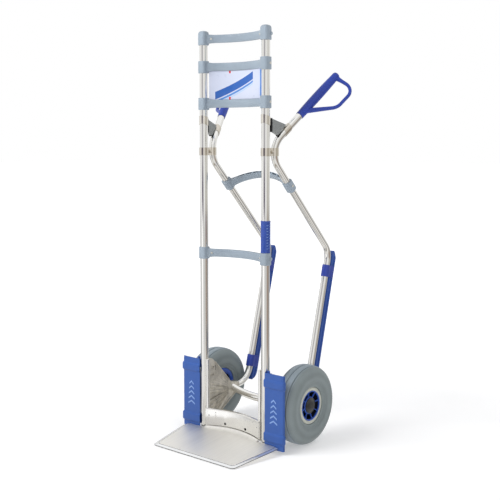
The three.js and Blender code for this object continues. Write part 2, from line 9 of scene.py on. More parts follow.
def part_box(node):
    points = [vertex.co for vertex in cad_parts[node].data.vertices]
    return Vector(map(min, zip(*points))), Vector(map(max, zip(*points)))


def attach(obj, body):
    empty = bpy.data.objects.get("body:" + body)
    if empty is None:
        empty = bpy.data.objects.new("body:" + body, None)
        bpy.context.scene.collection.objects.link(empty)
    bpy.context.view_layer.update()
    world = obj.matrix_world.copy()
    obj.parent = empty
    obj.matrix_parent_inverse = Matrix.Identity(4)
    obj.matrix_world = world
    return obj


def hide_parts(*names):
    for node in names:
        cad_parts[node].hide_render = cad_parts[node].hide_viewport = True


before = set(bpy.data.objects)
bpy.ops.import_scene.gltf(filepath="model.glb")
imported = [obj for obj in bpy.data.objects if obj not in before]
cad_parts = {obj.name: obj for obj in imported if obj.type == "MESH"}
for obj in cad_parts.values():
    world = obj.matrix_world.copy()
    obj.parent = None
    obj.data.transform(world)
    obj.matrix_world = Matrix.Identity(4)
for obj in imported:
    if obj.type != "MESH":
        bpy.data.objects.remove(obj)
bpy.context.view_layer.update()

MM = 0.001
AXLE_Y, AXLE_Z, WHEEL_X = 124, 130, 192  # wheel centres, mm
TUBE_LOW, TUBE_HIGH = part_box("right_main_tube")
TUBE_Y = (TUBE_LOW.y + TUBE_HIGH.y) / 2  # the main tubes' plane, from which every y below is counted
TUBE_X = (TUBE_LOW.x + TUBE_HIGH.x) / 2 / MM
FRAME_BODY = "frame"
SIDES = {"right": 1, "left": -1}


def at(x, y, z):
    """A point in metres, from millimetres measured off the main tubes' plane and the floor."""
    return Vector((x * MM, y * MM + TUBE_Y, z * MM))


# ---------------------------------------------------------------- materials
class NodeTree:
    """Short calls for the nodes of a material or of the world."""

    def __init__(self, tree):
        self.tree = tree

    def outputs(self, kind, inputs, **properties):
        """The outputs of a new node. Each input is a value or another node's output."""
        made = self.tree.nodes.new(kind)
        for key, value in properties.items():
            setattr(made, key, value)
        for key, value in inputs.items():
            if isinstance(value, bpy.types.NodeSocket):
                self.tree.links.new(value, made.inputs[key])
            else:
                made.inputs[key].default_value = value
        return made.outputs

    def node(self, kind, inputs, **properties):
        return self.outputs(kind, inputs, **properties)[0]

    def math(self, operation, first, second=0.0):
        return self.node("ShaderNodeMath", {0: first, 1: second}, operation=operation)

    def span(self, value, low, high, to_low=0.0, to_high=1.0):
        values = {"Value": value, "From Min": low, "From Max": high, "To Min": to_low, "To Max": to_high}
        return self.node("ShaderNodeMapRange", values)

    def mix(self, factor, *colors):
        """Blend of two colours, each an RGB triple or another node's output."""
        first, second = (c if isinstance(c, bpy.types.NodeSocket) else (*c, 1) for c in colors)
        return self.outputs("ShaderNodeMix", {0: factor, 6: first, 7: second}, data_type="RGBA")[2]


class Finish(NodeTree):
    """A procedural material."""

    def __init__(self, name, color, roughness, metallic=0.0, **constants):
        self.material = bpy.data.materials.new(name)
        self.material.use_nodes = True
        super().__init__(self.material.node_tree)
        self.shader = self.tree.nodes["Principled BSDF"]
        self.coords = self.outputs("ShaderNodeTexCoord", {})["Object"]
        self.set("Base Color", (*color, 1))
        self.set("Roughness", roughness)
        self.set("Metallic", metallic)
        for socket, value in constants.items():
            self.set(socket.replace("_", " "), value)

    def set(self, socket, value):
        self.shader.inputs[socket].default_value = value

    def link(self, output, socket):
        self.tree.links.new(output, self.shader.inputs[socket])

    def noise(self, scale, detail=4.0, stretch=(1, 1, 1), roughness=0.55):
        vector = self.node("ShaderNodeMapping", {"Vector": self.coords, "Scale": stretch})
        values = {"Vector": vector, "Scale": scale, "Detail": detail, "Roughness": roughness}
        return self.node("ShaderNodeTexNoise", values)

    def bump(self, height, distance, strength=1.0, under=None):
        values = {"Height": height, "Distance": distance, "Strength": strength}
        if under is not None:
            values["Normal"] = under
        made = self.node("ShaderNodeBump", values)
        self.link(made, "Normal")
        return made

    def axis(self, name):
        return self.outputs("ShaderNodeSeparateXYZ", {0: self.coords})[name]

    def round_axle(self):
        """Offsets from the wheels' axis along Y and Z, and the distance from it, in metres."""
        across = self.math("SUBTRACT", self.axis("Y"), TUBE_Y + AXLE_Y * MM)
        above = self.math("SUBTRACT", self.axis("Z"), AXLE_Z * MM)
        squares = self.math("ADD", self.math("POWER", across, 2.0), self.math("POWER", above, 2.0))
        return across, above, self.math("SQRT", squares)


def srgb(*values):
    scaled = [v / 255 for v in values]
    return tuple(v / 12.92 if v <= 0.04045 else ((v + 0.055) / 1.055) ** 2.4 for v in scaled)


def shade(color, factor):
    return tuple(min(1.0, c * factor) for c in color)


def drawn_metal(name, color, roughness, streak, depth=0.4, cloud=9.0, metallic=1.0):
    """Drawn or polished metal: lengthwise streaks, faint cloudiness and a few rub marks."""
    f = Finish(name, color, roughness, metallic)
    streaks = f.noise(1.0, 4.0, streak, 0.55)
    clouds = f.noise(cloud, 3.0)
    rubs = f.noise(60.0, 8.0, (1, 1, 0.25), 0.7)
    varied = f.math("ADD", f.span(streaks, 0.3, 0.7, -0.02, 0.03), f.span(clouds, 0.3, 0.7, -0.03, 0.04))
    marks = f.span(rubs, 0.6, 0.75, 0.0, 0.08)
    f.link(f.math("ADD", f.math("ADD", varied, marks), roughness), "Roughness")
    f.link(f.mix(f.span(streaks, 0.3, 0.72), shade(color, 0.95), shade(color, 1.03)), "Base Color")
    f.bump(streaks, 0.00002, depth)
    return f.material


def cast_metal(name, color):
    """Cast aluminium: fine grain, patches darker and lighter at random, and faint grooves that fan out from
    the axle, darkened with painted shade.
    """
    f = Finish(name, color, 0.42, 0.8)
    grain = f.noise(1100.0, 4.0, (1, 1, 1), 0.6)
    patches = f.noise(38.0, 5.0, (1, 1.4, 1), 0.65)
    tone = f.math("ADD", f.math("MULTIPLY", grain, 0.35), f.math("MULTIPLY", patches, 0.65))
    across, above, away = f.round_axle()
    turn = f.math("ARCTAN2", above, across)
    relief_and_painted_shading = f.math("SINE", f.math("MULTIPLY", f.math("ABSOLUTE", turn), 38.0))
    here = f.math("MULTIPLY", f.span(away, 0.018, 0.03), f.span(above, 0.055, 0.035))
    # Painted shade: the fan of grooves is darkened in the base colour below, and the same mask also sinks
    # them by bump.
    groove = f.math("MULTIPLY", f.span(relief_and_painted_shading, 0.45, 0.95), here)
    base = f.mix(f.span(tone, 0.36, 0.66), shade(color, 0.62), shade(color, 1.3))
    f.link(f.mix(f.math("MULTIPLY", groove, 0.32), base, shade(color, 0.3)), "Base Color")
    f.link(f.span(patches, 0.3, 0.7, 0.5, 0.3), "Roughness")
    first = f.bump(grain, 0.0003, 0.6)
    f.bump(f.math("MULTIPLY", groove, -1.0), 0.0012, 0.8, first)
    return f.material


def moulded(name, color, roughness, grain=0.00006, coat=0.0, mottle=0.07):
    """Injection-moulded plastic: fine grain, flow mottling and slightly scuffed patches."""
    f = Finish(name, color, roughness, 0.0, Coat_Weight=coat, Coat_Roughness=0.25, Specular_IOR_Level=0.5)
    fine = f.noise(2600.0, 3.0)
    flow = f.noise(14.0, 4.0, (1, 1, 0.45))
    scuffs = f.noise(140.0, 7.0, (1, 1, 0.3), 0.7)
    f.link(f.mix(f.span(flow, 0.3, 0.7), shade(color, 1 - mottle), shade(color, 1 + mottle)), "Base Color")
    added_amount = f.math("ADD", f.span(scuffs, 0.55, 0.75, 0.0, 0.14), f.span(flow, 0.3, 0.7, -0.04, 0.05))
    f.link(f.math("ADD", added_amount, roughness), "Roughness")
    f.bump(fine, grain, 0.6)
    return f.material


def rubber(name, color, roughness, ringed=False):
    """Moulded rubber: matte, dusty in places, with a fine pebbled skin and, on a tyre, faint rings of
    painted highlight and a painted highlight on the tread.
    """
    f = Finish(name, color, roughness, 0.0, Specular_IOR_Level=0.35)
    skin = f.noise(1500.0, 4.0)
    dust = f.noise(22.0, 6.0, (1, 1, 1), 0.65)
    tone_color = f.mix(f.span(dust, 0.35, 0.72), shade(color, 0.92), shade(color, 1.08))
    if ringed:
        away = f.round_axle()[2]
        # Painted highlight: rings round the axle are tinted lighter, standing in for light on the sidewall's
        # steps.
        painted_ring_highlight = f.math("SINE", f.math("MULTIPLY", away, 230.0))
        fine = f.math("SINE", f.math("MULTIPLY", away, 1500.0))
        tone = f.math("ADD", f.math("MULTIPLY", painted_ring_highlight, 0.75), f.math("MULTIPLY", fine, 0.25))
        tone_color = f.mix(f.span(tone, -1, 1, 0.0, 0.32), tone_color, shade(color, 1.55))
        # Painted highlight: the tread is tinted lighter and bluer all the way round.
        added_amount = f.span(away, 0.1245, 0.1275, 0.0, 0.5)
        tone_color = f.mix(added_amount, tone_color, srgb(158, 172, 184))
    f.link(tone_color, "Base Color")
    f.link(f.span(dust, 0.3, 0.7, roughness - 0.06, roughness + 0.12), "Roughness")
    f.bump(skin, 0.00015, 0.7)
    return f.material


def printed_board():
    """White printed board with plain diagonal stripes, one upright stripe and two small ticks."""
    white = srgb(196, 202, 220)
    f = Finish("board_print", white, 0.32, 0.0, Coat_Weight=0.3, Coat_Roughness=0.12)
    x, z = f.axis("X"), f.axis("Z")
    middle = 1.1735
    across = f.math("SUBTRACT", f.math("SUBTRACT", z, middle), f.math("MULTIPLY", x, 0.42))
    inside = f.math("LESS_THAN", f.math("ABSOLUTE", f.math("ADD", x, 0.021)), 0.074)

    def band(value, centre, half):
        return f.math("LESS_THAN", f.math("ABSOLUTE", f.math("SUBTRACT", value, centre)), half)

    wide = f.math("MULTIPLY", band(across, 0.006, 0.0125), inside)
    narrow = f.math("MULTIPLY", band(across, -0.0135, 0.0032), inside)
    pale = f.math("MULTIPLY", band(across, -0.021, 0.0016), inside)
    upright = band(x, 0.1, 0.0046)
    off_middle = f.math("ABSOLUTE", f.math("SUBTRACT", z, middle))
    ticks = f.math("MULTIPLY", band(x, -0.046, 0.0034), f.math("GREATER_THAN", off_middle, 0.0385))
    color = f.mix(wide, white, srgb(30, 88, 168))
    color = f.mix(narrow, color, srgb(70, 130, 200))
    color = f.mix(pale, color, srgb(165, 195, 228))
    color = f.mix(upright, color, srgb(45, 110, 190))
    color = f.mix(ticks, color, srgb(205, 40, 45))
    f.link(color, "Base Color")
    f.link(f.span(f.noise(40.0, 5.0), 0.3, 0.7, 0.26, 0.4), "Roughness")
    f.bump(f.noise(300.0, 3.0), 0.00005, 0.5)
    return f.material


def brace_plastic():
    """Grey plastic with fine horizontal ribs, painted darker in their troughs as painted shade and lighter
    on their crests as painted highlight.
    """
    color = srgb(138, 141, 140)
    f = Finish("brace_plastic", color, 0.5, 0.0)
    relief_and_painted_shading = f.math("SINE", f.math("MULTIPLY", f.axis("Z"), 3400.0))
    # Painted shade and highlight: the colour follows the ribs' relief, dark in the troughs and light on the
    # crests.
    f.link(f.mix(f.span(relief_and_painted_shading, -1, 1), shade(color, 0.82), shade(color, 1.1)), "Base Color")
    f.link(f.span(f.noise(120.0, 5.0), 0.3, 0.7, 0.42, 0.6), "Roughness")
    f.bump(relief_and_painted_shading, 0.0002, 0.8)
    return f.material


TUBE = drawn_metal("tube_metal", srgb(236, 235, 232), 0.1, (260, 260, 1.5), 0.15)
BENT = drawn_metal("bent_tube_metal", srgb(236, 235, 232), 0.12, (6, 6, 6), 0.05)
SHEET = drawn_metal("sheet_metal", srgb(238, 237, 234), 0.15, (30, 30, 30), 0.1)
PLATE = drawn_metal("plate_metal", srgb(246, 244, 239), 0.54, (220, 8, 30), 0.3, 5.0)
PLATE_RIM = drawn_metal("plate_rim_metal", srgb(236, 237, 238), 0.18, (30, 30, 30), 0.1, 5.0, 0.7)
# Dark metal that is painted shade: the shadowed lower edge of the toe plate, the step inside its border and
# the inside of the riser's back wall.
PAINTED_SHADE_METAL = drawn_metal("painted_shade_metal", srgb(48, 47, 46), 0.35, (30, 30, 30), 0.1)
STEEL = drawn_metal("zinc_metal", srgb(212, 205, 194), 0.08, (8, 8, 8), 0.05)
SCREW = drawn_metal("screw_metal", srgb(214, 212, 204), 0.3, (60, 60, 60), 0.1, 9.0, 0.5)
STRAP = drawn_metal("strap_metal", srgb(226, 221, 212), 0.12, (200, 200, 40), 0.1)
CAST = cast_metal("cast_metal", srgb(208, 203, 192))
GREY = moulded("crossbar_plastic", srgb(142, 155, 167), 0.34, coat=0.3)
GUARD = moulded("guard_plastic", srgb(46, 86, 160), 0.4)
HANDLE = moulded("handle_plastic", srgb(32, 58, 152), 0.38)
SKID = moulded("skid_plastic", srgb(34, 74, 154), 0.36)
CLIP = moulded("clip_plastic", srgb(42, 62, 150), 0.33)
SLEEVE = moulded("sleeve_plastic", srgb(26, 64, 150), 0.28, coat=0.35)
PRINT = moulded("print_pale_blue", srgb(128, 160, 214), 0.45)
RIM = moulded("rim_plastic", srgb(36, 80, 176), 0.35, coat=0.2)
RIM_PAINTED_SHADE = moulded("rim_inside", srgb(7, 10, 28), 0.7)
# Near-black painted shade for the deep well behind the rim's spokes.
RING = moulded("ring_plastic", srgb(186, 188, 177), 0.45, mottle=0.12)
CAP = moulded("cap_plastic", srgb(30, 30, 30), 0.3, coat=0.2)
TYRE = rubber("tyre_rubber", srgb(124, 133, 134), 0.5, True)
BLACK = rubber("black_rubber", srgb(22, 22, 24), 0.6)
BOARD = printed_board()
BRACE = brace_plastic()


# ---------------------------------------------------------------- mesh helpers
def cleaned(mesh, angle=38):
    work = bmesh.new()
    work.from_mesh(mesh)
    bmesh.ops.remove_doubles(work, verts=work.verts, dist=1e-6)
    bmesh.ops.dissolve_degenerate(work, dist=1e-7, edges=work.edges)
    bmesh.ops.recalc_face_normals(work, faces=work.faces)
    work.to_mesh(mesh)
    work.free()
    mesh.shade_smooth()
    mesh.set_sharp_from_angle(angle=math.radians(angle))
    return mesh


def part(name, mesh, material, angle=38):
    mesh.name = name
    if mesh.materials:
        mesh.materials.clear()
    mesh.materials.append(material)
    obj = bpy.data.objects.new(name, cleaned(mesh, angle))
    bpy.context.scene.collection.objects.link(obj)
    return obj


def place(obj, body, replaced=()):
    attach(obj, body)
    if replaced:
        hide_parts(*replaced)
    return obj


def raw(points, faces):
    mesh = bpy.data.meshes.new("work")
    mesh.from_pydata([tuple(p) for p in points], [], faces)
    return mesh


def loft(rings, closed=False):
    """Skin over rings of equal count. Capped ends, or the last ring joined to the first."""
    count = len(rings[0])
    points = [p for ring in rings for p in ring]
    faces = []
    for k in range(len(rings) if closed else len(rings) - 1):
        a, b = k * count, ((k + 1) % len(rings)) * count
        faces += [(a + i, a + (i + 1) % count, b + (i + 1) % count, b + i) for i in range(count)]
    if not closed:
        faces += [tuple(range(count)), tuple(range(len(points) - count, len(points)))]
    return raw(points, faces)


def local(matrix, a, b, c):
    """A point given in mm along a matrix's own axes."""
    return matrix @ (Vector((a, b, c)) * MM)


def turned(profile, matrix, segments=64):
    """Solid of revolution about the matrix's Z axis. Profile points are (radius, height), in mm."""
    rings = []
    for r, h in profile:
        rings.append([local(matrix, a, b, h) for a, b in circle(0, 0, r, segments)])
    return loft(rings, closed=True)


def rounded(profile, radius, steps=4):
    """Profile with its corners rounded: each corner becomes an arc-like curve."""
    made = []
    for i, corner in enumerate(profile):
        before, after = profile[i - 1], profile[(i + 1) % len(profile)]
        here = Vector(corner)
        to_before, to_after = Vector(before) - here, Vector(after) - here
        reach = min(radius, to_before.length * 0.45, to_after.length * 0.45)
        start, end = here + to_before.normalized() * reach, here + to_after.normalized() * reach
        for k in range(steps + 1):
            t = k / steps
            made.append(tuple(start * (1 - t) ** 2 + here * 2 * t * (1 - t) + end * t ** 2))
    return made


def rounded_box(a0, a1, b0, b1, radius, steps=4):
    return rounded([(a0, b0), (a1, b0), (a1, b1), (a0, b1)], radius, steps)


def rod(radius, low, high):
    """Profile of a solid rod, for turned(). It starts a hair off the axis."""
    return [(0.01, low), (radius, low), (radius, high), (0.01, high)]


def sideways(origin):
    """Local Z along the row's X axis, local X along Y: for wheels, and outlines drawn in (y, z)."""
    return Matrix.Translation(origin) @ Matrix(((0, 0, 1, 0), (1, 0, 0, 0), (0, 1, 0, 0), (0, 0, 0, 1)))


def upright(origin):
    return Matrix.Translation(origin)


def along(origin, direction, hint=Vector((1, 0, 0))):
    """Local Z along a direction, local X as near to the hint as it goes."""
    z = direction.normalized()
    if abs(z.dot(hint)) > 0.99:
        hint = Vector((0, 0, 1))
    x = (hint - z * hint.dot(z)).normalized()
    y = z.cross(x)
    turn = Matrix((x, y, z)).transposed().to_4x4()
    return Matrix.Translation(origin) @ turn


def plate(outlines, low, high, matrix, bevel=0.5):
    """Flat plate with bevelled edges from (a, b) outlines in mm; outlines inside others are holes."""
    curve = bpy.data.curves.new("work", "CURVE")
    curve.dimensions = "2D"
    curve.fill_mode = "BOTH"
    curve.extrude = (high - low) / 2 * MM - bevel * MM
    curve.bevel_depth = bevel * MM
    curve.bevel_resolution = 2
    curve.offset = -bevel * MM
    for outline in outlines:
        spline = curve.splines.new("POLY")
        spline.points.add(len(outline) - 1)
        for point, (a, b) in zip(spline.points, outline):
            point.co = (a * MM, b * MM, 0, 1)
        spline.use_cyclic_u = True
    holder = bpy.data.objects.new("work", curve)
    bpy.context.scene.collection.objects.link(holder)
    graph = bpy.context.evaluated_depsgraph_get()
    mesh = bpy.data.meshes.new_from_object(holder.evaluated_get(graph))
    bpy.data.objects.remove(holder)
    mesh.transform(matrix @ Matrix.Translation((0, 0, (low + high) / 2 * MM)))
    return mesh


def circle(a, b, radius, count=24):
    steps = [2 * math.pi * i / count for i in range(count)]
    return [(a + radius * math.cos(t), b + radius * math.sin(t)) for t in steps]


def merged(*meshes):
    work = bmesh.new()
    for mesh in meshes:
        work.from_mesh(mesh)
    made = bpy.data.meshes.new("work")
    work.to_mesh(made)
    work.free()
    return made


def mirrored(mesh):
    copy = mesh.copy()
    copy.transform(Matrix.Scale(-1, 4, (1, 0, 0)))
    copy.flip_normals()
    return copy


def pair(name, mesh, material, nodes=None, angle=38):
    """The right-hand piece and its mirror image on the left, both on the frame."""
    for side, sign in SIDES.items():
        own = mesh if sign > 0 else mirrored(mesh)
        replaced = [f"{side}_{n}" for n in (nodes or [])]
        place(part(f"{side}_{name}", own, material, angle), FRAME_BODY, replaced)


# ---------------------------------------------------------------- paths
def bent_path(points, radii, steps=10, straight=1):
    """Stations (point, direction) along straight runs joined by round bends."""
    points = [Vector(p) for p in points]
    stations = [(points[0], (points[1] - points[0]).normalized())]
    for i, radius in enumerate(radii, 1):
        before = (points[i] - points[i - 1]).normalized()
        after = (points[i + 1] - points[i]).normalized()
        turn = before.angle(after)
        start = points[i] - before * radius * math.tan(turn / 2)
        inward = (after - before * after.dot(before)).normalized()
        origin = stations[-1][0]
        for k in range(1, straight):
            stations.append((origin.lerp(start, k / straight), before))
        for k in range(steps + 1):
            a = turn * k / steps
            point = start + before * radius * math.sin(a) + inward * radius * (1 - math.cos(a))
            stations.append((point, before * math.cos(a) + inward * math.sin(a)))
    stations.append((points[-1], (points[-1] - points[-2]).normalized()))
    return stations


def swept(section, stations, up, scale=None, hollow=None):
    """Section points (side, up) in mm carried along stations. A second section makes it hollow."""
    def rings(outline):
        made = []
        for k, (point, direction) in enumerate(stations):
            side = direction.cross(up).normalized()
            top = side.cross(direction).normalized()
            s = scale[k] if scale else 1.0
            made.append([at(*(point + side * a * s + top * b * s)) for a, b in outline])
        return made

    outer = rings(section)
    if hollow is None:
        return loft(outer)
    return loft(outer + rings(hollow)[::-1], closed=True)


def box_section(width, height, radius, steps=4):
    w, h = width / 2, height / 2
    return rounded_box(-w, w, -h, h, radius, steps)


# ---------------------------------------------------------------- sizes shared with the CAD, in mm
MAIN_RADIUS, MAIN_INNER, MAIN_BOTTOM, MAIN_TOP = 13.5, 12.0, 21.5, 1343
REAR_RADIUS, REAR_INNER = 11.5, 10.0
BARS = {"top": 1325, "upper": 1233.5, "middle": 1113, "lower": 617}
BOW, BAR_SHIFT = 40, 7
BAR_DEPTH, BAR_HEIGHT = 10, 26
SOCKET_HALF_HEIGHT = 19.75
ARCH_Z, ARCH_BOW = 845, 47
CLAMP_Z, CLAMP_REAR, CLAMP_BOLT = 956, 43.9, 23
CLIP_LEVELS = {"upper": 541, "lower": 201}
GUARD_BOTTOM, GUARD_TOP = 10.5, 254
BRACKET_FACE = 117.5
GRIP_AXIS = Vector((0.273, 0.673, 0.688)).normalized()
GRIP_MOUTH = Vector((170, 134, 1077))
REAR_POINTS = [
    GRIP_MOUTH + GRIP_AXIS * 70, GRIP_MOUTH - GRIP_AXIS * 133.7, Vector((TUBE_X, 44, 927)),
    Vector((TUBE_X, 353, 608)), Vector((TUBE_X, 226, 130)), Vector((TUBE_X, 148, 130)),
]
REAR_BENDS = [70, 70, 60, 70]
LEG_TOP = REAR_POINTS[3]
LEG_DOWN = (REAR_POINTS[4] - LEG_TOP).normalized()
LEG_BACK = Vector((0, -LEG_DOWN.z, LEG_DOWN.y))


def bow_y(x, bow=BOW):
    """Middle line of a bowed crossbar, which comes forward a little at its sockets."""
    share = abs(x) / TUBE_X
    return bow * (1 - share ** 2) - BAR_SHIFT * share ** 4


def screw_mesh(origin, normal, head=4.2, height=2.6):
    """Pan-head screw with a hexagon recess, standing on a surface."""
    matrix = along(origin, normal)
    profile = [(head, 0), (head, height * 0.35), (head * 0.86, height * 0.75), (head * 0.6, height * 0.95)]
    rings = []
    for r, h in profile + [(head * 0.45, height), (head * 0.42, height * 0.4), (0.01, height * 0.4)]:
        recess = r <= head * 0.42
        ring = []
        for i in range(24):
            t = 2 * math.pi * i / 24
            flat = math.cos(math.pi / 6) / math.cos((t % (math.pi / 3)) - math.pi / 6) if recess else 1
            ring.append(local(matrix, r * flat * math.cos(t), r * flat * math.sin(t), h))
        rings.append(ring)
    return loft(rings)


# ---------------------------------------------------------------- main tubes, sleeve
def build_main_tubes():
    wall = rounded_box(MAIN_INNER, MAIN_RADIUS, MAIN_BOTTOM, MAIN_TOP, 0.4, 2)
    tube = turned(wall, upright(at(TUBE_X, 0, 0)), 72)
    pair("main_tube_skin", tube, TUBE, ["main_tube"])


def build_sleeve():
    low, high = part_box("tube_sleeve")
    bottom, top = low.z / MM, high.z / MM
    bore = MAIN_RADIUS + 0.3
    profile = [(bore, bottom), (15.9, bottom), (15.9, bottom + 4), (15.4, bottom + 5), (15.4, top - 5)]
    profile += [(15.9, top - 4), (15.9, top), (bore, top)]
    sleeve = turned(rounded(profile, 0.5, 2), upright(at(TUBE_X, 0, 0)), 64)
    place(part("sleeve_skin", sleeve, SLEEVE), FRAME_BODY, ["tube_sleeve"])
    strips = []
    for k in range(9):
        z = bottom + 12 + k * 9.2
        edge = [(math.radians(-38 + 10 * i), z + i * 1.1) for i in range(7)]
        outline = edge + [(t, h + 3.4) for t, h in edge[::-1]]
        layers = []
        for r in (15.3, 15.65):
            layers.append([at(TUBE_X + r * math.cos(t), r * math.sin(t), h) for t, h in outline])
        strips.append(loft(layers))
    place(part("sleeve_dashes", merged(*strips), PRINT), FRAME_BODY, ())


# ---------------------------------------------------------------- crossbars
def crowned_section(depth, height, crown=1.3):
    """Box section with one broad face that bulges a little, so that light runs along it."""
    w, h = depth / 2, height / 2
    rise = [(-w - crown * (1 - (k / 5 - 1) ** 2), h * 0.86 * (1 - k / 5)) for k in range(11)]
    top = [(w * 0.8, h), (-w * 0.75, h), (-w - crown * 0.15, h * 0.93)]
    low = [(-a, -b) for a, b in top]
    return top + rise + low[:2] + [(w, -h * 0.86), (w, h * 0.86)]


def bar_rings(bow):
    """Bowed moulded bar, thicker and taller where it runs into its two sockets, in mm."""
    rings = []
    for k in range(65):
        x = TUBE_X * (2 * k / 64 - 1)
        flare = max(0.0, (abs(x) - 92) / 26) ** 2
        section = crowned_section(BAR_DEPTH * (1 + 0.25 * flare), BAR_HEIGHT + 4.5 * min(flare, 1.2))
        along_x = Vector((1, -2 * bow * x / TUBE_X ** 2, 0)).normalized()
        side = Vector((along_x.y, -along_x.x, 0))
        rings.append([Vector((x, bow_y(x, bow), 0)) + side * a + Vector((0, 0, b)) for a, b in section])
    return rings


def rounded_square(half, corner, count=11):
    """Outline of a square with round corners, as directions and distances from its centre."""
    made = []
    for k in range(4):
        turn = math.pi / 2 * k
        for i in range(count):
            t = math.pi / 2 * i / (count - 1)
            a, b = half - corner + corner * math.cos(t), half - corner + corner * math.sin(t)
            made.append((a * math.cos(turn) - b * math.sin(turn), a * math.sin(turn) + b * math.cos(turn)))
    return made


def socket_mesh(half, bore, height, dome, matrix):
    """Square-shouldered socket on a tube: open below, and domed above on the top bar."""
    levels = [(0.94, -height), (0.98, -height + 0.7), (1, -height + 1.8)]
    if dome:
        levels += [(1, height - 6), (0.99, height - 3), (0.93, height + 1), (0.82, dome - 3.4)]
        levels += [(0.62, dome - 1.2), (0.36, dome - 0.2), (0.02, dome)]
    else:
        levels += [(1, height - 1.8), (0.98, height - 0.7), (0.94, height)]
    outside = rounded_square(half, 8.6)
    rings = [[local(matrix, a * s, b * s, z) for a, b in outside] for s, z in levels]
    inside = [(a / math.hypot(a, b) * bore, b / math.hypot(a, b) * bore) for a, b in outside]
    roof = dome - 6 if dome else height
    if dome:
        rings.append([local(matrix, a, b, roof) for a, b in circle(0, 0, 0.01, len(outside))])
    rings += [[local(matrix, a, b, z) for a, b in inside] for z in (roof, -height)]
    return loft(rings, closed=True)


def pocket_rings(bow):
    """Cored pockets in the bar's upper edge, as sunken boxes between thin webs, in mm."""
    top, reach = BAR_HEIGHT / 2, BAR_DEPTH * 0.26
    outline = [(-reach, top + 1), (reach, top + 1), (reach, top - 9), (-reach, top - 9)]
    boxes = []
    for k in range(7):
        start = -94 + k * 27.4
        stations = [start + 22 * i / 4 for i in range(5)]
        boxes.append([[Vector((x, bow_y(x, bow) + a, z)) for a, z in outline] for x in stations])
    return boxes


def carve(mesh, cutters):
    """The mesh less each cutter, by an exact boolean."""
    body = bpy.data.objects.new("work", mesh)
    tool = bpy.data.objects.new("work", cutters)
    for obj in (body, tool):
        cleaned(obj.data)
        bpy.context.scene.collection.objects.link(obj)
    cut = body.modifiers.new("cut", "BOOLEAN")
    cut.operation = "DIFFERENCE"
    cut.solver = "EXACT"
    cut.object = tool
    graph = bpy.context.evaluated_depsgraph_get()
    made = bpy.data.meshes.new_from_object(body.evaluated_get(graph))
    bpy.data.objects.remove(body)
    bpy.data.objects.remove(tool)
    return made


def crossbar(bow, radius, bore, dome, matrix):
    """Bar with its two sockets and its cored upper edge, placed by a matrix in metres."""
    def moved(rings):
        return loft([[matrix @ (p * MM) for p in ring] for ring in rings])

    bar = carve(moved(bar_rings(bow)), merged(*[moved(rings) for rings in pocket_rings(bow)]))
    ends = [matrix @ Matrix.Translation((sign * TUBE_X * MM, 0, 0)) for sign in (-1, 1)]
    bar = carve(bar, merged(*[turned(rod(bore, -60, 60), end, 48) for end in ends]))
    return merged(bar, *[socket_mesh(radius, bore, SOCKET_HALF_HEIGHT, dome, end) for end in ends])


def build_crossbars():
    for name, z in BARS.items():
        dome = 27 if name == "top" else 0
        mesh = crossbar(BOW, 15.2, MAIN_RADIUS + 0.2, dome, upright(at(0, 0, z)))
        place(part(f"{name}_crossbar_skin", mesh, GREY), FRAME_BODY, [f"{name}_crossbar"])
        if name in ("top", "lower"):
            x = 106
            normal = Vector((-2 * BOW * x / TUBE_X ** 2, -1, 0)).normalized()
            mesh = screw_mesh(at(*(Vector((x, bow_y(x), z)) + normal * 5.6)), normal, 3.6, 2)
            lug = turned(rounded(rod(5.5, 0, 5), 1.5), sideways(at(TUBE_X + 12.5, 8, z)), 32)
            pair(f"{name}_bar_lug", lug, GREY, None)
        else:
            mesh = screw_mesh(at(TUBE_X + 15.1, 4, z), Vector((1, 0, 0)), 4.2, 2.4)
        pair(f"{name}_bar_screw", mesh, SCREW, [f"{name}_crossbar_screw"])


def build_rear_arch():
    run = REAR_POINTS[3] - REAR_POINTS[2]
    lean = math.atan2(run.y, -run.z)
    y = REAR_POINTS[2].y + (REAR_POINTS[2].z - ARCH_Z) * math.tan(lean)
    matrix = Matrix.Translation(at(0, y, ARCH_Z)) @ Matrix.Rotation(lean, 4, "X")
    mesh = crossbar(ARCH_BOW, 14.6, REAR_RADIUS + 0.2, 0, matrix)
    place(part("rear_arch_skin", mesh, GREY), FRAME_BODY, ["rear_arch"])
    screw = screw_mesh(at(TUBE_X + 14.5, y, ARCH_Z), Vector((1, 0, 0)), 4.2, 2.4)
    pair("rear_arch_screw_head", screw, SCREW, ["rear_arch_screw"])


def build_name_plate():
    """Thin board that follows the bow of the crossbars above and below it."""
    low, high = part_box("name_plate")
    half = (high.x - low.x) / 2 / MM
    middle, height = (low.z + high.z) / 2 / MM, (high.z - low.z) / MM
    columns = 48
    rings = []
    for k in range(columns + 1):
        x = half * (2 * k / columns - 1)
        rings.append([at(x, bow_y(x) + a, middle + b) for a, b in box_section(2.4, height, 0.6, 2)])
    place(part("name_board", loft(rings), BOARD), FRAME_BODY, ["name_plate"])


# ---------------------------------------------------------------- rear tubes and handles
def build_rear_tubes():
    stations = bent_path(REAR_POINTS, REAR_BENDS, 14)
    outside, inside = circle(0, 0, REAR_RADIUS, 40), circle(0, 0, REAR_INNER, 40)
    tube = swept(outside, stations, Vector((1, 0, 0.001)), hollow=inside)
    pair("rear_tube_skin", tube, BENT, ["rear_tube"])


def handle_matrix():
    outward = Vector((1, 0, 0)) - GRIP_AXIS * GRIP_AXIS.x
    outward.normalize()
    outward.rotate(Matrix.Rotation(math.radians(30), 3, GRIP_AXIS))
    across = GRIP_AXIS.cross(outward)
    turn = Matrix((outward, across, GRIP_AXIS)).transposed().to_4x4()
    return Matrix.Translation(at(*GRIP_MOUTH)) @ turn


def grooved_section(half, across):
    """Oval with a shallow groove down each flat side."""
    made = []
    for i in range(40):
        t = 2 * math.pi * i / 40
        dip = 1 - 0.2 * max(0.0, abs(math.sin(t)) - 0.82) / 0.18
        made.append((half * math.cos(t), across * dip * math.sin(t)))
    return made


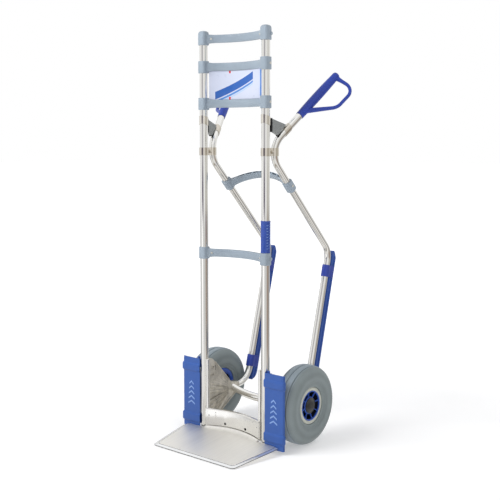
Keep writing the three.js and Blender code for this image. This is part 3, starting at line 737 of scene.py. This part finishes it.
def build_handles():
    matrix = handle_matrix()
    grip = [(11.9, -8)]
    for k in range(25):
        s = k / 24
        swell = 12.9 + 2.0 * math.sin(math.pi * min(1, s * 1.05)) ** 0.8 - 0.3 * s
        grip.append((swell, -8 + 188 * s))
    grip += [(12.6, 184), (11, 188.5), (7.5, 190.8), (3, 191.6), (0.01, 191.8), (0.01, 60), (11.9, 60)]
    body = turned(grip, matrix, 64)
    corners = [Vector((0, 0, 178)), Vector((80, 0, 179)), Vector((78, 0, 90)), Vector((6, 0, 20))]
    stations = bent_path(corners, [34, 40], 14, 5)
    rings = []
    for point, direction in stations:
        near = min((point - corners[0]).length, (point - corners[-1]).length)
        grow = 1 + 0.55 * math.exp(-max(0.0, near - 12) / 9)
        side = direction.cross(Vector((0, 1, 0))).normalized()
        section = grooved_section(5.4 * grow, 6.8 * min(grow, 1.25))
        rings.append([matrix @ ((point + side * a + Vector((0, b, 0))) * MM) for a, b in section])
    pair("grip_and_loop", merged(body, loft(rings)), HANDLE, ["handle"])


# ---------------------------------------------------------------- clamps and braces
def belt(front, rear, distance, waist, count=24):
    """Outline round two circles on the y axis, drawn in to a waist between them, as (x, y)."""
    def flank(radius, centre, sign):
        start = math.asin(min(1.0, waist / radius))
        turns = [start + (math.pi - start) * i / count for i in range(count + 1)]
        return [(radius * math.sin(t), centre - sign * radius * math.cos(t)) for t in turns]

    right = flank(front, 0, -1)[::-1] + flank(rear, distance, 1)
    return right + [(-a, b) for a, b in right[-2:0:-1]]


def build_clamps():
    matrix = upright(at(TUBE_X, 0, CLAMP_Z)) @ Matrix.Rotation(math.radians(-2), 4, "Z")
    outside, inside = belt(15.6, 13.6, CLAMP_REAR, 6.4), belt(13.7, 11.7, CLAMP_REAR, 4.6)
    half = 13
    levels = [(inside, -half), (outside, -half + 0.3), (outside, half - 0.3), (inside, half)]
    rings = [[local(matrix, a, b, height) for a, b in outline] for outline, height in levels]
    pair("clamp_band", loft(rings, closed=True), STEEL, ["tube_clamp"])
    seat = matrix @ Matrix.Translation((0, CLAMP_BOLT * MM, 0))
    bolt = [turned(rod(3, -7, 7), seat @ Matrix.Rotation(math.pi / 2, 4, "Y"), 24)]
    for sign in (1, -1):
        outward = Matrix.Translation((sign * 6.5 * MM, 0, 0)) @ Matrix.Rotation(sign * math.pi / 2, 4, "Y")
        bolt.append(turned(rounded(rod(6.4, 0, 1), 0.3, 2), seat @ outward, 32))
        bolt.append(turned(rounded([(0.01, 1), (5, 1), (5, 4.6), (0.01, 4.6)], 0.6, 2), seat @ outward, 6))
    pair("clamp_fastener", merged(*bolt), STEEL, ["clamp_bolt"])


def slanted_band(radius, thickness, width, slope, matrix):
    """Strap round a tube whose two edges slant down towards local +y."""
    outer, half = radius + thickness, width / 2
    rings = []
    for r, h in ((radius, -half), (outer, -half), (outer, half), (radius, half)):
        rings.append([local(matrix, x, y, h - y * slope) for x, y in circle(0, 0, r, 56)])
    return loft(rings, closed=True)


def build_braces():
    turn = Matrix.Rotation(math.radians(-13), 4, "Z")
    base = upright(at(TUBE_X, 0, 0)) @ turn
    flat = base @ sideways(Vector((0, 0, 0)))
    wedge = rounded([(22.3, 1021), (47, 1008.6), (79.2, 1042.6), (22.3, 1061)], 2, 3)
    pair("brace_wedge", plate([wedge], -6, 6, flat, 0.8), BRACE, ["brace_plate"])
    edge = rounded_box(15.9, 22, 1019, 1063, 1.2, 3)
    lip = rounded([(44.5, 1008.9), (47.6, 1006.4), (57, 1016.2), (55.2, 1018)], 0.4, 2)
    rubber_parts = merged(plate([edge], -7, 7, flat, 0.8), plate([lip], -6.4, 6.4, flat, 0.3))
    pair("brace_rubber", rubber_parts, BLACK, ["brace_pad"])
    slope = math.tan(math.radians(20))
    front = slanted_band(13.75, 1.4, 27, slope, upright(at(TUBE_X, 0, 1056)) @ turn)
    pair("brace_strap_front", front, STRAP, ["brace_front_band"])
    seat = GRIP_MOUTH - GRIP_AXIS * 74
    rear = slanted_band(REAR_RADIUS + 0.25, 1.4, 27, slope, along(at(*seat), GRIP_AXIS))
    pair("brace_strap_rear", rear, STEEL, ["brace_rear_band"])


# ---------------------------------------------------------------- skids
def leg_point(back, down):
    point = LEG_TOP + LEG_BACK * back + LEG_DOWN * down
    return point.y, point.z


def arc(a, b, radius, start, end, steps=8):
    turns = [math.radians(start + (end - start) * i / steps) for i in range(steps + 1)]
    return [(a + radius * math.cos(t), b + radius * math.sin(t)) for t in turns]


def build_skids():
    """Outlines run in the leg's own axes: back from the tube, and down along it."""
    front, back, length = REAR_RADIUS + 0.3, 35, 492
    outline = [(front, 15), (front + 4, -1), (front + 9, -5), (back - 6, 3)]
    outline += arc(back - 5, 15, 5, -55, 0, 4)
    outline += [(back, length - 46)]
    outline += arc(back - 36, length - 36, 36, 0, 55)
    outline += [(front + 3, length - 3), (front, length - 10)]
    zone = sideways(Vector((0, TUBE_Y, 0)))

    def drawn(points):
        return [leg_point(a, b) for a, b in points]

    low, high = TUBE_X - 11.6, TUBE_X + 11.6
    body = plate([drawn(outline)], low + 1.8, high - 1.8, zone, 1.4)
    rail = [(back - 9, 12), (back - 1, 17), (back - 1, length - 46)]
    rail += arc(back - 37, length - 36, 36, 0, 48) + [(back - 15, length - 14), (back - 9, length - 42)]
    thick = plate([drawn(rail)], low, high, zone, 1.2)
    pair("skid_body", merged(body, thick), SKID, ["skid"])
    for level, z in CLIP_LEVELS.items():
        build_clips(level, (LEG_TOP.z - z) / -LEG_DOWN.z)


def build_clips(level, middle):
    """Wrap of two lobes, a round one about the tube and a flatter one about the skid."""
    centre = at(*(LEG_TOP + LEG_DOWN * middle))
    turn = Matrix((Vector((-1, 0, 0)), LEG_BACK, LEG_DOWN)).transposed().to_4x4()
    matrix = Matrix.Translation(centre) @ turn

    def outline(grow):
        radius = REAR_RADIUS + 0.5 + grow
        front = arc(0, 0, radius, 168, 372, 24)
        waist, half = REAR_RADIUS + grow, 12.4 + grow
        right = [(waist, 8.5), (half - 0.4, 11.5), (half, 14), (half, 27), (half - 1.2, 28.4)]
        return front + right + [(-a, b) for a, b in right[::-1]]

    rings = []
    for grow, h in ((1.6, -20.5), (2.3, -20), (2.5, -19.2), (2.5, 19.2), (2.3, 20), (1.6, 20.5)):
        rings.append([local(matrix, a, b, h) for a, b in outline(grow)])
    pair(f"{level}_clip_wrap", loft(rings), CLIP, [f"{level}_skid_clip"])


# ---------------------------------------------------------------- brackets, axle tube
def bracket_outline():
    made = [(-6.6, 24), (22, 24), (50, 50), (72, 72), (104, 96), (136, 110), (146, 114)]
    made += [(150, 118), (150, 146), (118, 153), (104, 163), (32, 239)]
    made += [(27, 245), (21, 250.5), (14, 254.5), (8, 256), (-6.6, 257)]
    return made


def build_brackets():
    zone = sideways(Vector((0, TUBE_Y, 0)))
    eyes = ((20, 223), (18.5, 198))
    holes = [circle(y, z, 3.6) for y, z in eyes] + [rounded_box(31, 34.5, 209, 229, 1.7, 4)]
    shapes = [plate([bracket_outline()] + holes, 112.3, BRACKET_FACE, zone, 0.7)]
    edges = [((32, 239), (104, 163), 4.5), ((72, 72), (136, 110), 4)]
    edges += [((22, 24), (72, 72), 3.5), ((0, 254), (12, 254), 3.5)]
    for start, end, wide in edges:
        shapes.append(rib(start, end, wide, 110.2, 113, zone))
    fan = [(0, 44), (2, 62), (4, 80), (0, 98), (2, 114), (0, 133), (4, 150), (8, 166)]
    for index, (y, z) in enumerate(fan):
        end = (100, AXLE_Z + (z - AXLE_Z) * 0.12)
        shapes.append(rib((y + 8, z), end, 1.8 if index % 2 else 2.6, 109.6, 113, zone))
    for y, z in eyes:
        shapes.append(plate([circle(y, z, 6.4), circle(y, z, 3.6)], 111, 113, zone, 0.4))
    post = plate([rounded_box(-10.5, -1.5, 28, 257, 4, 6)], 108.6, BRACKET_FACE - 0.1, zone, 2.4)
    pair("bracket_post", post, SHEET, None)
    boss = rounded([(10.2, 111.6), (17, 111.6), (18, 146), (10.2, 146)], 1.5)
    block = plate([rounded_box(130, 161.5, 115.5, 144.5, 5, 5)], 113, 146, zone, 2.5)
    bore = turned(rod(11.7, 0, 60), along(at(TUBE_X, 147.6, AXLE_Z), Vector((0, 1, 0))), 40)
    shapes += [turned(boss, sideways(at(0, AXLE_Y, AXLE_Z)), 56), carve(block, bore)]
    pair("bracket_casting", merged(*shapes), CAST, ["axle_bracket"], 30)


def rib(start, end, wide, low, high, matrix):
    a, b = Vector(start), Vector(end)
    side = Vector((-(b - a).y, (b - a).x)).normalized() * wide / 2
    corners = [a + side, a - side, b - side * 0.7, b + side * 0.7]
    return plate([[tuple(c) for c in corners]], low, high, matrix, 0.6)


def build_axle_tube():
    half = 111
    stations, scale = [], []
    for k in range(41):
        x = half * (2 * k / 40 - 1)
        stations.append((Vector((x, AXLE_Y, AXLE_Z - 15 * (1 - (x / half) ** 2))), Vector((1, 0, 0))))
        scale.append(1 + 0.1 * max(0.0, (abs(x) - 88) / 23))
    oval = [(a, b * 1.16) for a, b in circle(0, 0, 11.4, 48)]
    tube = swept(oval, stations, Vector((0, 0, 1)), scale, circle(0, 0, 9.4, 48))
    place(part("axle_tube_skin", tube, BENT), FRAME_BODY, ["axle_tube"])


# ---------------------------------------------------------------- toe plate and riser
RISE = math.radians(5.4)
FRONT_Y, REAR_Y = -208, -16.6
FRONT_HALF, REAR_HALF = 172, 201
RISER_HALF, RISER_BOW = 117, 22
RISER_HOLES = [(44, 44, 4.2), (104, 66, 1.6), (80, 78, 1.3)]  # x on either side, z, radius


def on_plate(x, y, height):
    """A point on the tilted toe plate: y is measured level, height from its underside."""
    run = y - FRONT_Y
    y = FRONT_Y + run * math.cos(RISE) - height * math.sin(RISE)
    return at(x, y, run * math.sin(RISE) + height * math.cos(RISE))


def riser_y(x):
    return -13.2 + RISER_BOW * (1 - (x / RISER_HALF) ** 2)


def plate_ring(inset, height):
    """Outline of the toe plate, drawn in by an inset, at one height."""
    front, corner, rear_corner = FRONT_Y + inset, 15, 10

    def side_at(y):
        flare = (REAR_HALF - FRONT_HALF) / (REAR_Y - FRONT_Y)
        return FRONT_HALF + (y - FRONT_Y) * flare - inset

    right = []
    for i in range(9):
        a = math.pi / 2 * i / 8
        x = side_at(front + corner) - corner * (1 - math.sin(a))
        right.append((x, front + corner * (1 - math.cos(a))))
    for i in range(7):
        a = math.pi / 2 * i / 6
        x = side_at(REAR_Y) - rear_corner * (1 - math.cos(a))
        right.append((x, REAR_Y - rear_corner * (1 - math.sin(a))))
    right.append((113, REAR_Y))
    for i in range(13):
        x = 113 * (1 - i / 12)
        right.append((x, riser_y(x) + 2))
    left = [(-x, y) for x, y in right[-2::-1]]
    return [on_plate(x, y, height) for x, y in right + left]


def build_toe_plate():
    """Plate with its outer edge dark below as painted shadow, a bright border, a fine line of painted shade
    on the step inside it and a fillet to the riser.
    """
    layers = [(3.0, 0), (1.2, 0.4), (0.3, 1.2), (0, 2.1), (0.4, 2.8)]  # inset, height
    layers += [(1.6, 3.2), (11.8, 4.5), (12.6, 5.1), (14, 5.2)]
    top = loft([plate_ring(inset, height) for inset, height in layers])
    around = len(top.vertices) // len(layers)
    # Material 2 is painted shade: the lower outer edge as painted shadow under the plate, and the step
    # inside the border.
    bands = [2, 2, 2, 2, 1, 1, 2, 0]  # material of each band between two layers
    for face in top.polygons:
        face.material_index = bands[min(face.index // around, len(bands) - 1)]
    fillet = []
    for k in range(41):
        x = 112 * (2 * k / 40 - 1)
        y = riser_y(x) - 2.3
        radius = 15 - 4 * (x / 112) ** 2
        ring = []
        for i in range(9):
            a = math.pi / 2 * i / 8
            ring.append(on_plate(x, y - radius * (1 - math.sin(a)), 5.2 + radius * 0.62 * (1 - math.cos(a))))
        ring += [on_plate(x, y, 4), on_plate(x, y - radius, 4)]
        fillet.append(ring)
    piece = part("toe_plate_skin", merged(top, loft(fillet)), PLATE, 30)
    piece.data.materials.append(PLATE_RIM)
    piece.data.materials.append(PAINTED_SHADE_METAL)
    place(piece, FRAME_BODY, ["toe_plate"])


def riser_band(low, high, thickness, setback, corner):
    """Rings of an upright band that follows the riser's bow, set back behind its face."""
    rings = []
    for k in range(65):
        x = (RISER_HALF - 0.5) * (2 * k / 64 - 1)
        slope = -2 * RISER_BOW * x / RISER_HALF ** 2
        direction = Vector((1, slope, 0)).normalized()
        side = Vector((direction.y, -direction.x, 0))
        middle = Vector((x, riser_y(x), (low + high) / 2)) - side * setback
        section = box_section(thickness, high - low, corner, 4)
        rings.append([at(*(middle + side * a + Vector((0, 0, b)))) for a, b in section])
    return rings


def build_riser():
    """Bowed front sheet with a rolled top edge, a top flange and a plain wall behind, whose forward faces
    are dark as painted shade.
    """
    setback = 10.4
    holes, rims = [], []
    for x, z, r in [(sign * x, z, r) for x, z, r in RISER_HOLES for sign in (-1, 1)]:
        holes.append(turned(rod(r, -9, 9), along(at(x, riser_y(x), z), Vector((0, 1, 0))), 28))
    sheet = carve(loft(riser_band(27, 88, 3.2, 0, 1.2)), merged(*holes))
    roll = loft(riser_band(84.6, 89.4, 4.8, 0.4, 2.3))
    flange = loft(riser_band(86.4, 88.4, 11, 5.5, 0.7))
    back = loft(riser_band(27, 88.2, 1.6, setback, 0.6))
    # Painted shade: the back wall's forward faces, seen through the holes, take the dark metal.
    for face in back.polygons:
        wall = at(0, riser_y(face.center.x / MM) + setback, 0).y
        face.material_index = 1 if face.center.y < wall else 0
    ring = rounded([(4.1, 0.9), (5.3, 1.4), (5.3, 2.1), (4.3, 2.3)], 0.3, 2)
    for x in (44, -44):
        rims.append(turned(ring, along(at(x, riser_y(x), 44), Vector((0, -1, 0))), 32))
    piece = part("riser_skin", merged(sheet, roll, flange, back, *rims), SHEET)
    piece.data.materials.append(PAINTED_SHADE_METAL)
    place(piece, FRAME_BODY, ["riser_plate"])


# ---------------------------------------------------------------- wheel guards
def build_guards():
    """Moulded panel with two raised cross bands, a swept-back outer lip and two pegs behind."""
    def bump_at(z):
        made = 0.0
        for low, high in ((36, 58), (211, 231)):
            rise = min(1, max(0, (z - low + 6) / 7)) * min(1, max(0, (high + 6 - z) / 7))
            made = max(made, rise * rise * (3 - 2 * rise))
        return made

    rings = []
    levels = [GUARD_BOTTOM, GUARD_BOTTOM + 0.6, GUARD_BOTTOM + 2] + [14.5 + 2.13 * k for k in range(112)]
    levels += [GUARD_TOP - 1.5, GUARD_TOP - 0.5, GUARD_TOP]
    for index, z in enumerate(levels):
        b = bump_at(z)
        edge = min(index, len(levels) - 1 - index, 3)
        tuck = (1.2, 0.5, 0.15, 0)[edge]
        front = -16 - 4 * b + tuck
        inner, outer = 140.6 - 1.6 * b + tuck * 0.5, 214.5 + 2.6 * b - tuck * 0.5
        crown = 1.1
        outline = [(inner, front + 2.4), (inner, front + 1), (inner + 1.2, front + 0.1)]
        outline += [(inner + 12 + 10 * k, front - crown * math.sin(math.pi * (k + 1) / 7)) for k in range(6)]
        outline += [(outer - 2, front + 0.1), (outer + 0.6, front + 1), (outer + 2.4, front + 3.2)]
        outline += [(outer + 3.2, -9), (outer + 2.4, -7.8), (outer + 0.8, -8.6), (outer - 1.2, front + 3.4)]
        outline += [(outer - 4, front + 3)]
        outline += [(outer - 10 - 52 * k / 5, front + 2.8) for k in range(6)]
        rings.append([at(x, y, z) for x, y in outline])
    panel = loft(rings)
    zone = upright(Vector((0, TUBE_Y, 0)))
    peg = rounded_box(145.8, 157, -13.6, 5, 3, 4)
    pegs = [plate([peg], low, high, zone, 1.2) for low, high in ((28, 60), (222, 250))]
    pin = turned(rounded(rod(4.2, 230, 260), 1.5), upright(at(151, -7, 0)), 28)
    pair("guard_panel", panel, GUARD, ["wheel_guard"], 32)
    pair("guard_pegs", merged(*pegs, pin), SKID, None)
    build_guard_marks()


def build_guard_marks():
    """Plain pale chevrons on the guards' faces, 0.4 mm proud."""
    facing = Matrix(((1, 0, 0, 0), (0, 0, -1, 0), (0, 1, 0, 0), (0, 0, 0, 1)))
    base = Matrix.Translation(at(178, -16.9, 0)) @ facing
    shapes = []
    for k in range(5):
        z = 92 + k * 17
        wide = 15 - 1.3 * k
        outline = [(-wide, z), (0, z + 9), (wide, z), (wide, z + 5), (0, z + 14), (-wide, z + 5)]
        shapes.append(plate([outline], -0.4, 0.45, base, 0.15))
    pair("guard_chevrons", merged(*shapes), PRINT, None)


# ---------------------------------------------------------------- wheels
def smooth_curve(points, steps=5):
    """Catmull-Rom curve through the points."""
    def between(a, b, c, d, t):
        square, cube = 2 * a - 5 * b + 4 * c - d, 3 * b - a - 3 * c + d
        return 0.5 * (2 * b + (c - a) * t + square * t * t + cube * t ** 3)

    made = []
    ends = [points[0]] + list(points) + [points[-1]]
    for near in zip(ends, ends[1:], ends[2:], ends[3:]):
        for k in range(steps):
            made.append(tuple(between(*values, k / steps) for values in zip(*near)))
    made.append(tuple(points[-1]))
    return made


def tyre_profile():
    """Half x against radius: bead, stepped sidewall, round shoulder and a tread with three grooves."""
    wall = [(60.6, 30), (62.5, 33.4), (67, 34.6), (70, 36.6), (76, 38.4), (80, 40.4), (92, 42.1)]
    wall += [(100, 42), (104, 41.2), (107, 40.6), (113, 38), (119, 34), (123.6, 29.4), (126.2, 25)]
    half = smooth_curve(wall, 4)
    half += [(126.6, 24), (126, 23.2), (124.4, 22.6), (124.2, 21.4), (125.2, 20.6), (127.6, 20)]
    half += [(128.4, 18.6), (129.6, 10), (129.8, 3.4), (129.2, 2.4), (127, 1.9)]
    return [(r, -x) for r, x in half] + [(126.6, 0)] + half[::-1]


def wheel_matrix(side):
    return sideways(at(side * WHEEL_X, AXLE_Y, AXLE_Z)) @ Matrix.Diagonal((1, 1, side, 1))


def build_wheels():
    for side, sign in SIDES.items():
        body = f"{side}_wheel"
        matrix = wheel_matrix(sign)
        tyre = part(f"{side}_tyre_skin", turned(tyre_profile(), matrix, 144), TYRE, 50)
        place(tyre, body, [f"{side}_tyre"])
        edge = [(48.6, 8), (60.4, 8), (60.4, 29), (59, 31.2), (56, 32.2), (51, 31.8), (48.6, 30.4)]
        ring = rounded(edge, 0.9, 3)
        place(part(f"{side}_rim_ring", turned(ring, matrix, 96), RING), body, ())
        back_ring = turned([(r, -x) for r, x in ring][::-1], matrix, 96)
        place(part(f"{side}_rim_back_ring", back_ring, RIM), body, ())
        place(part(f"{side}_rim_spokes", rim_mesh(matrix), RIM), body, [f"{side}_rim"])
        place(part(f"{side}_rim_well", rim_inside(matrix), RIM_PAINTED_SHADE), body, ())
        build_hub(side, body, matrix)


def rim_mesh(matrix):
    """Front and back faces of the rim: an outer lip, a hub lip and eight thin spokes between them."""
    spokes = 8
    arms = [(27.4, 2.0, 22.6, 26), (33, 1.5, 23.4, 26.8), (41, 1.4, 25, 28.4), (46, 2.0, 27, 30)]
    shapes = []
    for flip in (1, -1):
        lip = rounded([(45.2, 26.5), (48.5, 26.5), (48.5, 31.6), (47.2, 32), (45.2, 30.6)], 0.4, 2)
        hub = rounded([(20.2, 22), (28.2, 22), (28.2, 25.6), (26, 27), (20.2, 27)], 0.6, 2)
        for profile in (lip, hub):
            face = [(r, x * flip) for r, x in profile]
            shapes.append(turned(face[::flip], matrix, 96))
        for k in range(spokes):
            turn = matrix @ Matrix.Rotation(2 * math.pi * k / spokes + math.pi / 16, 4, "Z")
            rings = []
            for r, wide, low, high in arms:
                corners = [(r, -wide, low), (r, wide, low), (r, wide * 0.7, high), (r, -wide * 0.7, high)]
                rings.append([local(turn, a, b, c * flip) for a, b, c in corners])
            shapes.append(loft(rings))
    return merged(*shapes)


def rim_inside(matrix):
    """Well behind the spokes, near-black as painted shade: barrel, web and hub barrel."""
    outline = [(27.2, 2), (45.4, 2), (45.4, 27), (48.4, 27), (48.4, -2), (20.3, -2)]
    outline += [(20.3, 22.4), (27.2, 22.4)]
    profile = rounded(outline, 0.3, 1)
    shapes = []
    for flip in (1, -1):
        face = [(r, x * flip) for r, x in profile]
        shapes.append(turned(face[::flip], matrix, 72))
    return merged(*shapes)


def build_hub(side, body, matrix):
    cap = [(16, 27.3), (25.6, 27.3), (26.2, 28.2), (25.6, 29.6), (24, 30.2), (22.6, 29.7), (21.4, 30.4)]
    cap += [(18, 32.4), (13, 33.6), (9.6, 33.8), (9, 33.2), (8.2, 33.2), (7.4, 33.9), (0.01, 34.1)]
    cap += [(0.01, 31), (16, 29)]
    place(part(f"{side}_cap", turned(cap, matrix, 72), CAP), body, [f"{side}_hub_cap"])
    axle = rounded([(0.01, -80.4), (10, -80.4), (10, 22.4), (16, 22.4), (16, 25.4), (0.01, 25.4)], 0.4, 2)
    bolt = part(f"{side}_axle_bolt", turned(axle, matrix, 48), STEEL)
    place(bolt, FRAME_BODY, [f"{side}_wheel_axle"])


# ---------------------------------------------------------------- building
build_main_tubes()
build_sleeve()
build_crossbars()
build_rear_arch()
build_name_plate()
build_rear_tubes()
build_handles()
build_clamps()
build_braces()
build_skids()
build_brackets()
build_axle_tube()
build_toe_plate()
build_riser()
build_guards()
build_wheels()

for node_name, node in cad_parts.items():
    if node_name.endswith("bearing"):
        node.data.materials.clear()
        node.data.materials.append(STEEL)


# ---------------------------------------------------------------- stage, lights, camera
def build_floor():
    """White floor whose own glow grows with distance, so that it meets the background unseen."""
    f = Finish("floor_white", (0.8, 0.8, 0.8), 0.9, 0.0, Specular_IOR_Level=0.1)
    f.link(f.mix(f.span(f.noise(3.0, 2.0), 0.3, 0.7), (0.79, 0.79, 0.79), (0.81, 0.81, 0.81)), "Base Color")
    reach = f.outputs("ShaderNodeVectorMath", {0: f.coords}, operation="LENGTH")["Value"]
    f.set("Emission Color", (1, 1, 1, 1))
    f.link(f.span(reach, 0.9, 3.2, 0.3, 0.75), "Emission Strength")
    size = 30
    corners = [(-size, -size, 0), (size, -size, 0), (size, size, 0), (-size, size, 0)]
    floor = part("floor", raw(corners, [(0, 1, 2, 3)]), f.material)
    floor.location.z = -0.0006
    floor.visible_glossy = False


# Reflected surround, as (degrees round from +X towards +Y, linear colour).
UPPER_BAND = [
    (-180, (0.85, 0.85, 0.84)), (-150, (1, 1, 1)), (-114, (1, 1, 1)), (-108, (0.2, 0.18, 0.23)),
    (-68, (0.13, 0.12, 0.16)), (-62, (1, 1, 1)), (-30, (1, 1, 1)), (-20, (0.62, 0.61, 0.57)),
    (36, (0.56, 0.54, 0.49)), (54, (0.95, 0.95, 0.94)), (100, (0.76, 0.75, 0.72)), (150, (0.7, 0.69, 0.66)),
    (180, (0.85, 0.85, 0.84)),
]
LOWER_BAND = [
    (-180, (0.42, 0.42, 0.42)), (-166, (0.5, 0.5, 0.5)), (-150, (0.66, 0.66, 0.67)),
    (-134, (0.9, 0.9, 0.91)), (-122, (1.15, 1.15, 1.16)), (-96, (1.3, 1.3, 1.31)), (-86, (1, 1, 1)),
    (-76, (0.7, 0.7, 0.7)), (-24, (0.66, 0.66, 0.65)), (-12, (0.42, 0.33, 0.28)),
    (24, (0.36, 0.29, 0.25)), (40, (0.3, 0.29, 0.28)), (70, (0.6, 0.6, 0.6)),
    (180, (0.5, 0.5, 0.5)),
]

# Steeper reflections, as (height where each starts, height where it is full, linear colour).
STEEP_ZONES = [
    (0.52, 0.64, (1.05, 1.05, 1.05)), (-0.36, -0.5, (0.88, 0.87, 0.85)),
    (-0.72, -0.78, (0.4, 0.36, 0.31)), (-0.84, -0.9, (0.9, 0.89, 0.87)),
]


def build_world():
    """Studio surround: white to look at, even for soft light, and banded for what metal reflects."""
    world = bpy.data.worlds.new("studio")
    bpy.context.scene.world = world
    world.use_nodes = True
    w = NodeTree(world.node_tree)
    split = w.outputs("ShaderNodeSeparateXYZ", {0: w.outputs("ShaderNodeTexCoord", {})["Generated"]})
    place_round = w.span(w.math("ARCTAN2", split["Y"], split["X"]), -math.pi, math.pi)

    def ramp(band):
        made = w.tree.nodes.new("ShaderNodeValToRGB")
        w.tree.links.new(place_round, made.inputs[0])
        elements = made.color_ramp.elements
        while len(elements) < len(band):
            elements.new(1.0)
        for element, (degrees, color) in zip(elements, band):
            element.position = (degrees + 180) / 360
            element.color = (*color, 1)
        return made.outputs[0]

    def zone(low, high):
        """0 to 1 as the reflected direction's height goes from low to high."""
        return w.span(split["Z"], low, high)

    around = w.mix(zone(-0.09, -0.03), ramp(LOWER_BAND), ramp(UPPER_BAND))
    around = w.mix(w.math("MULTIPLY", zone(0.03, 0.1), 0.45), around, (0.9, 0.9, 0.89))
    for low, high, color in STEEP_ZONES:
        around = w.mix(zone(low, high), around, color)
    rays = w.outputs("ShaderNodeLightPath", {})
    seen = w.mix(rays["Is Glossy Ray"], (0.46, 0.46, 0.47), around)
    seen = w.mix(rays["Is Camera Ray"], seen, (1, 1, 1))
    background = w.tree.nodes["Background"]
    w.tree.links.new(seen, background.inputs[0])
    background.inputs[1].default_value = 1.0


def area_light(name, location, target, size, power):
    data = bpy.data.lights.new(name, "AREA")
    data.shape = "RECTANGLE"
    data.size, data.size_y = size
    data.energy = power
    light = bpy.data.objects.new(name, data)
    light.location = location
    light.rotation_euler = (Vector(target) - Vector(location)).to_track_quat("-Z", "Y").to_euler()
    light.visible_glossy = False
    bpy.context.scene.collection.objects.link(light)


def build_camera():
    data = bpy.data.cameras.new("camera")
    data.sensor_width = 36
    data.lens = 63.965
    data.shift_y = -0.08
    camera = bpy.data.objects.new("camera", data)
    camera.location = at(1876.4, -2190.7, 997.3)
    camera.rotation_euler = (math.radians(90 - 4.574), 0, math.radians(39.547))
    bpy.context.scene.collection.objects.link(camera)
    bpy.context.scene.camera = camera


build_floor()
build_world()
area_light("key", (-1.6, -2.8, 3.0), (0, 0, 0.6), (2.2, 2.2), 112)
area_light("fill", (3.2, -0.4, 2.4), (0, 0, 0.6), (2.0, 2.4), 17)
area_light("back", (0.4, 3.2, 2.6), (0, 0, 0.7), (2.4, 1.6), 30)
build_camera()
bpy.context.scene.view_settings.view_transform = "Standard"
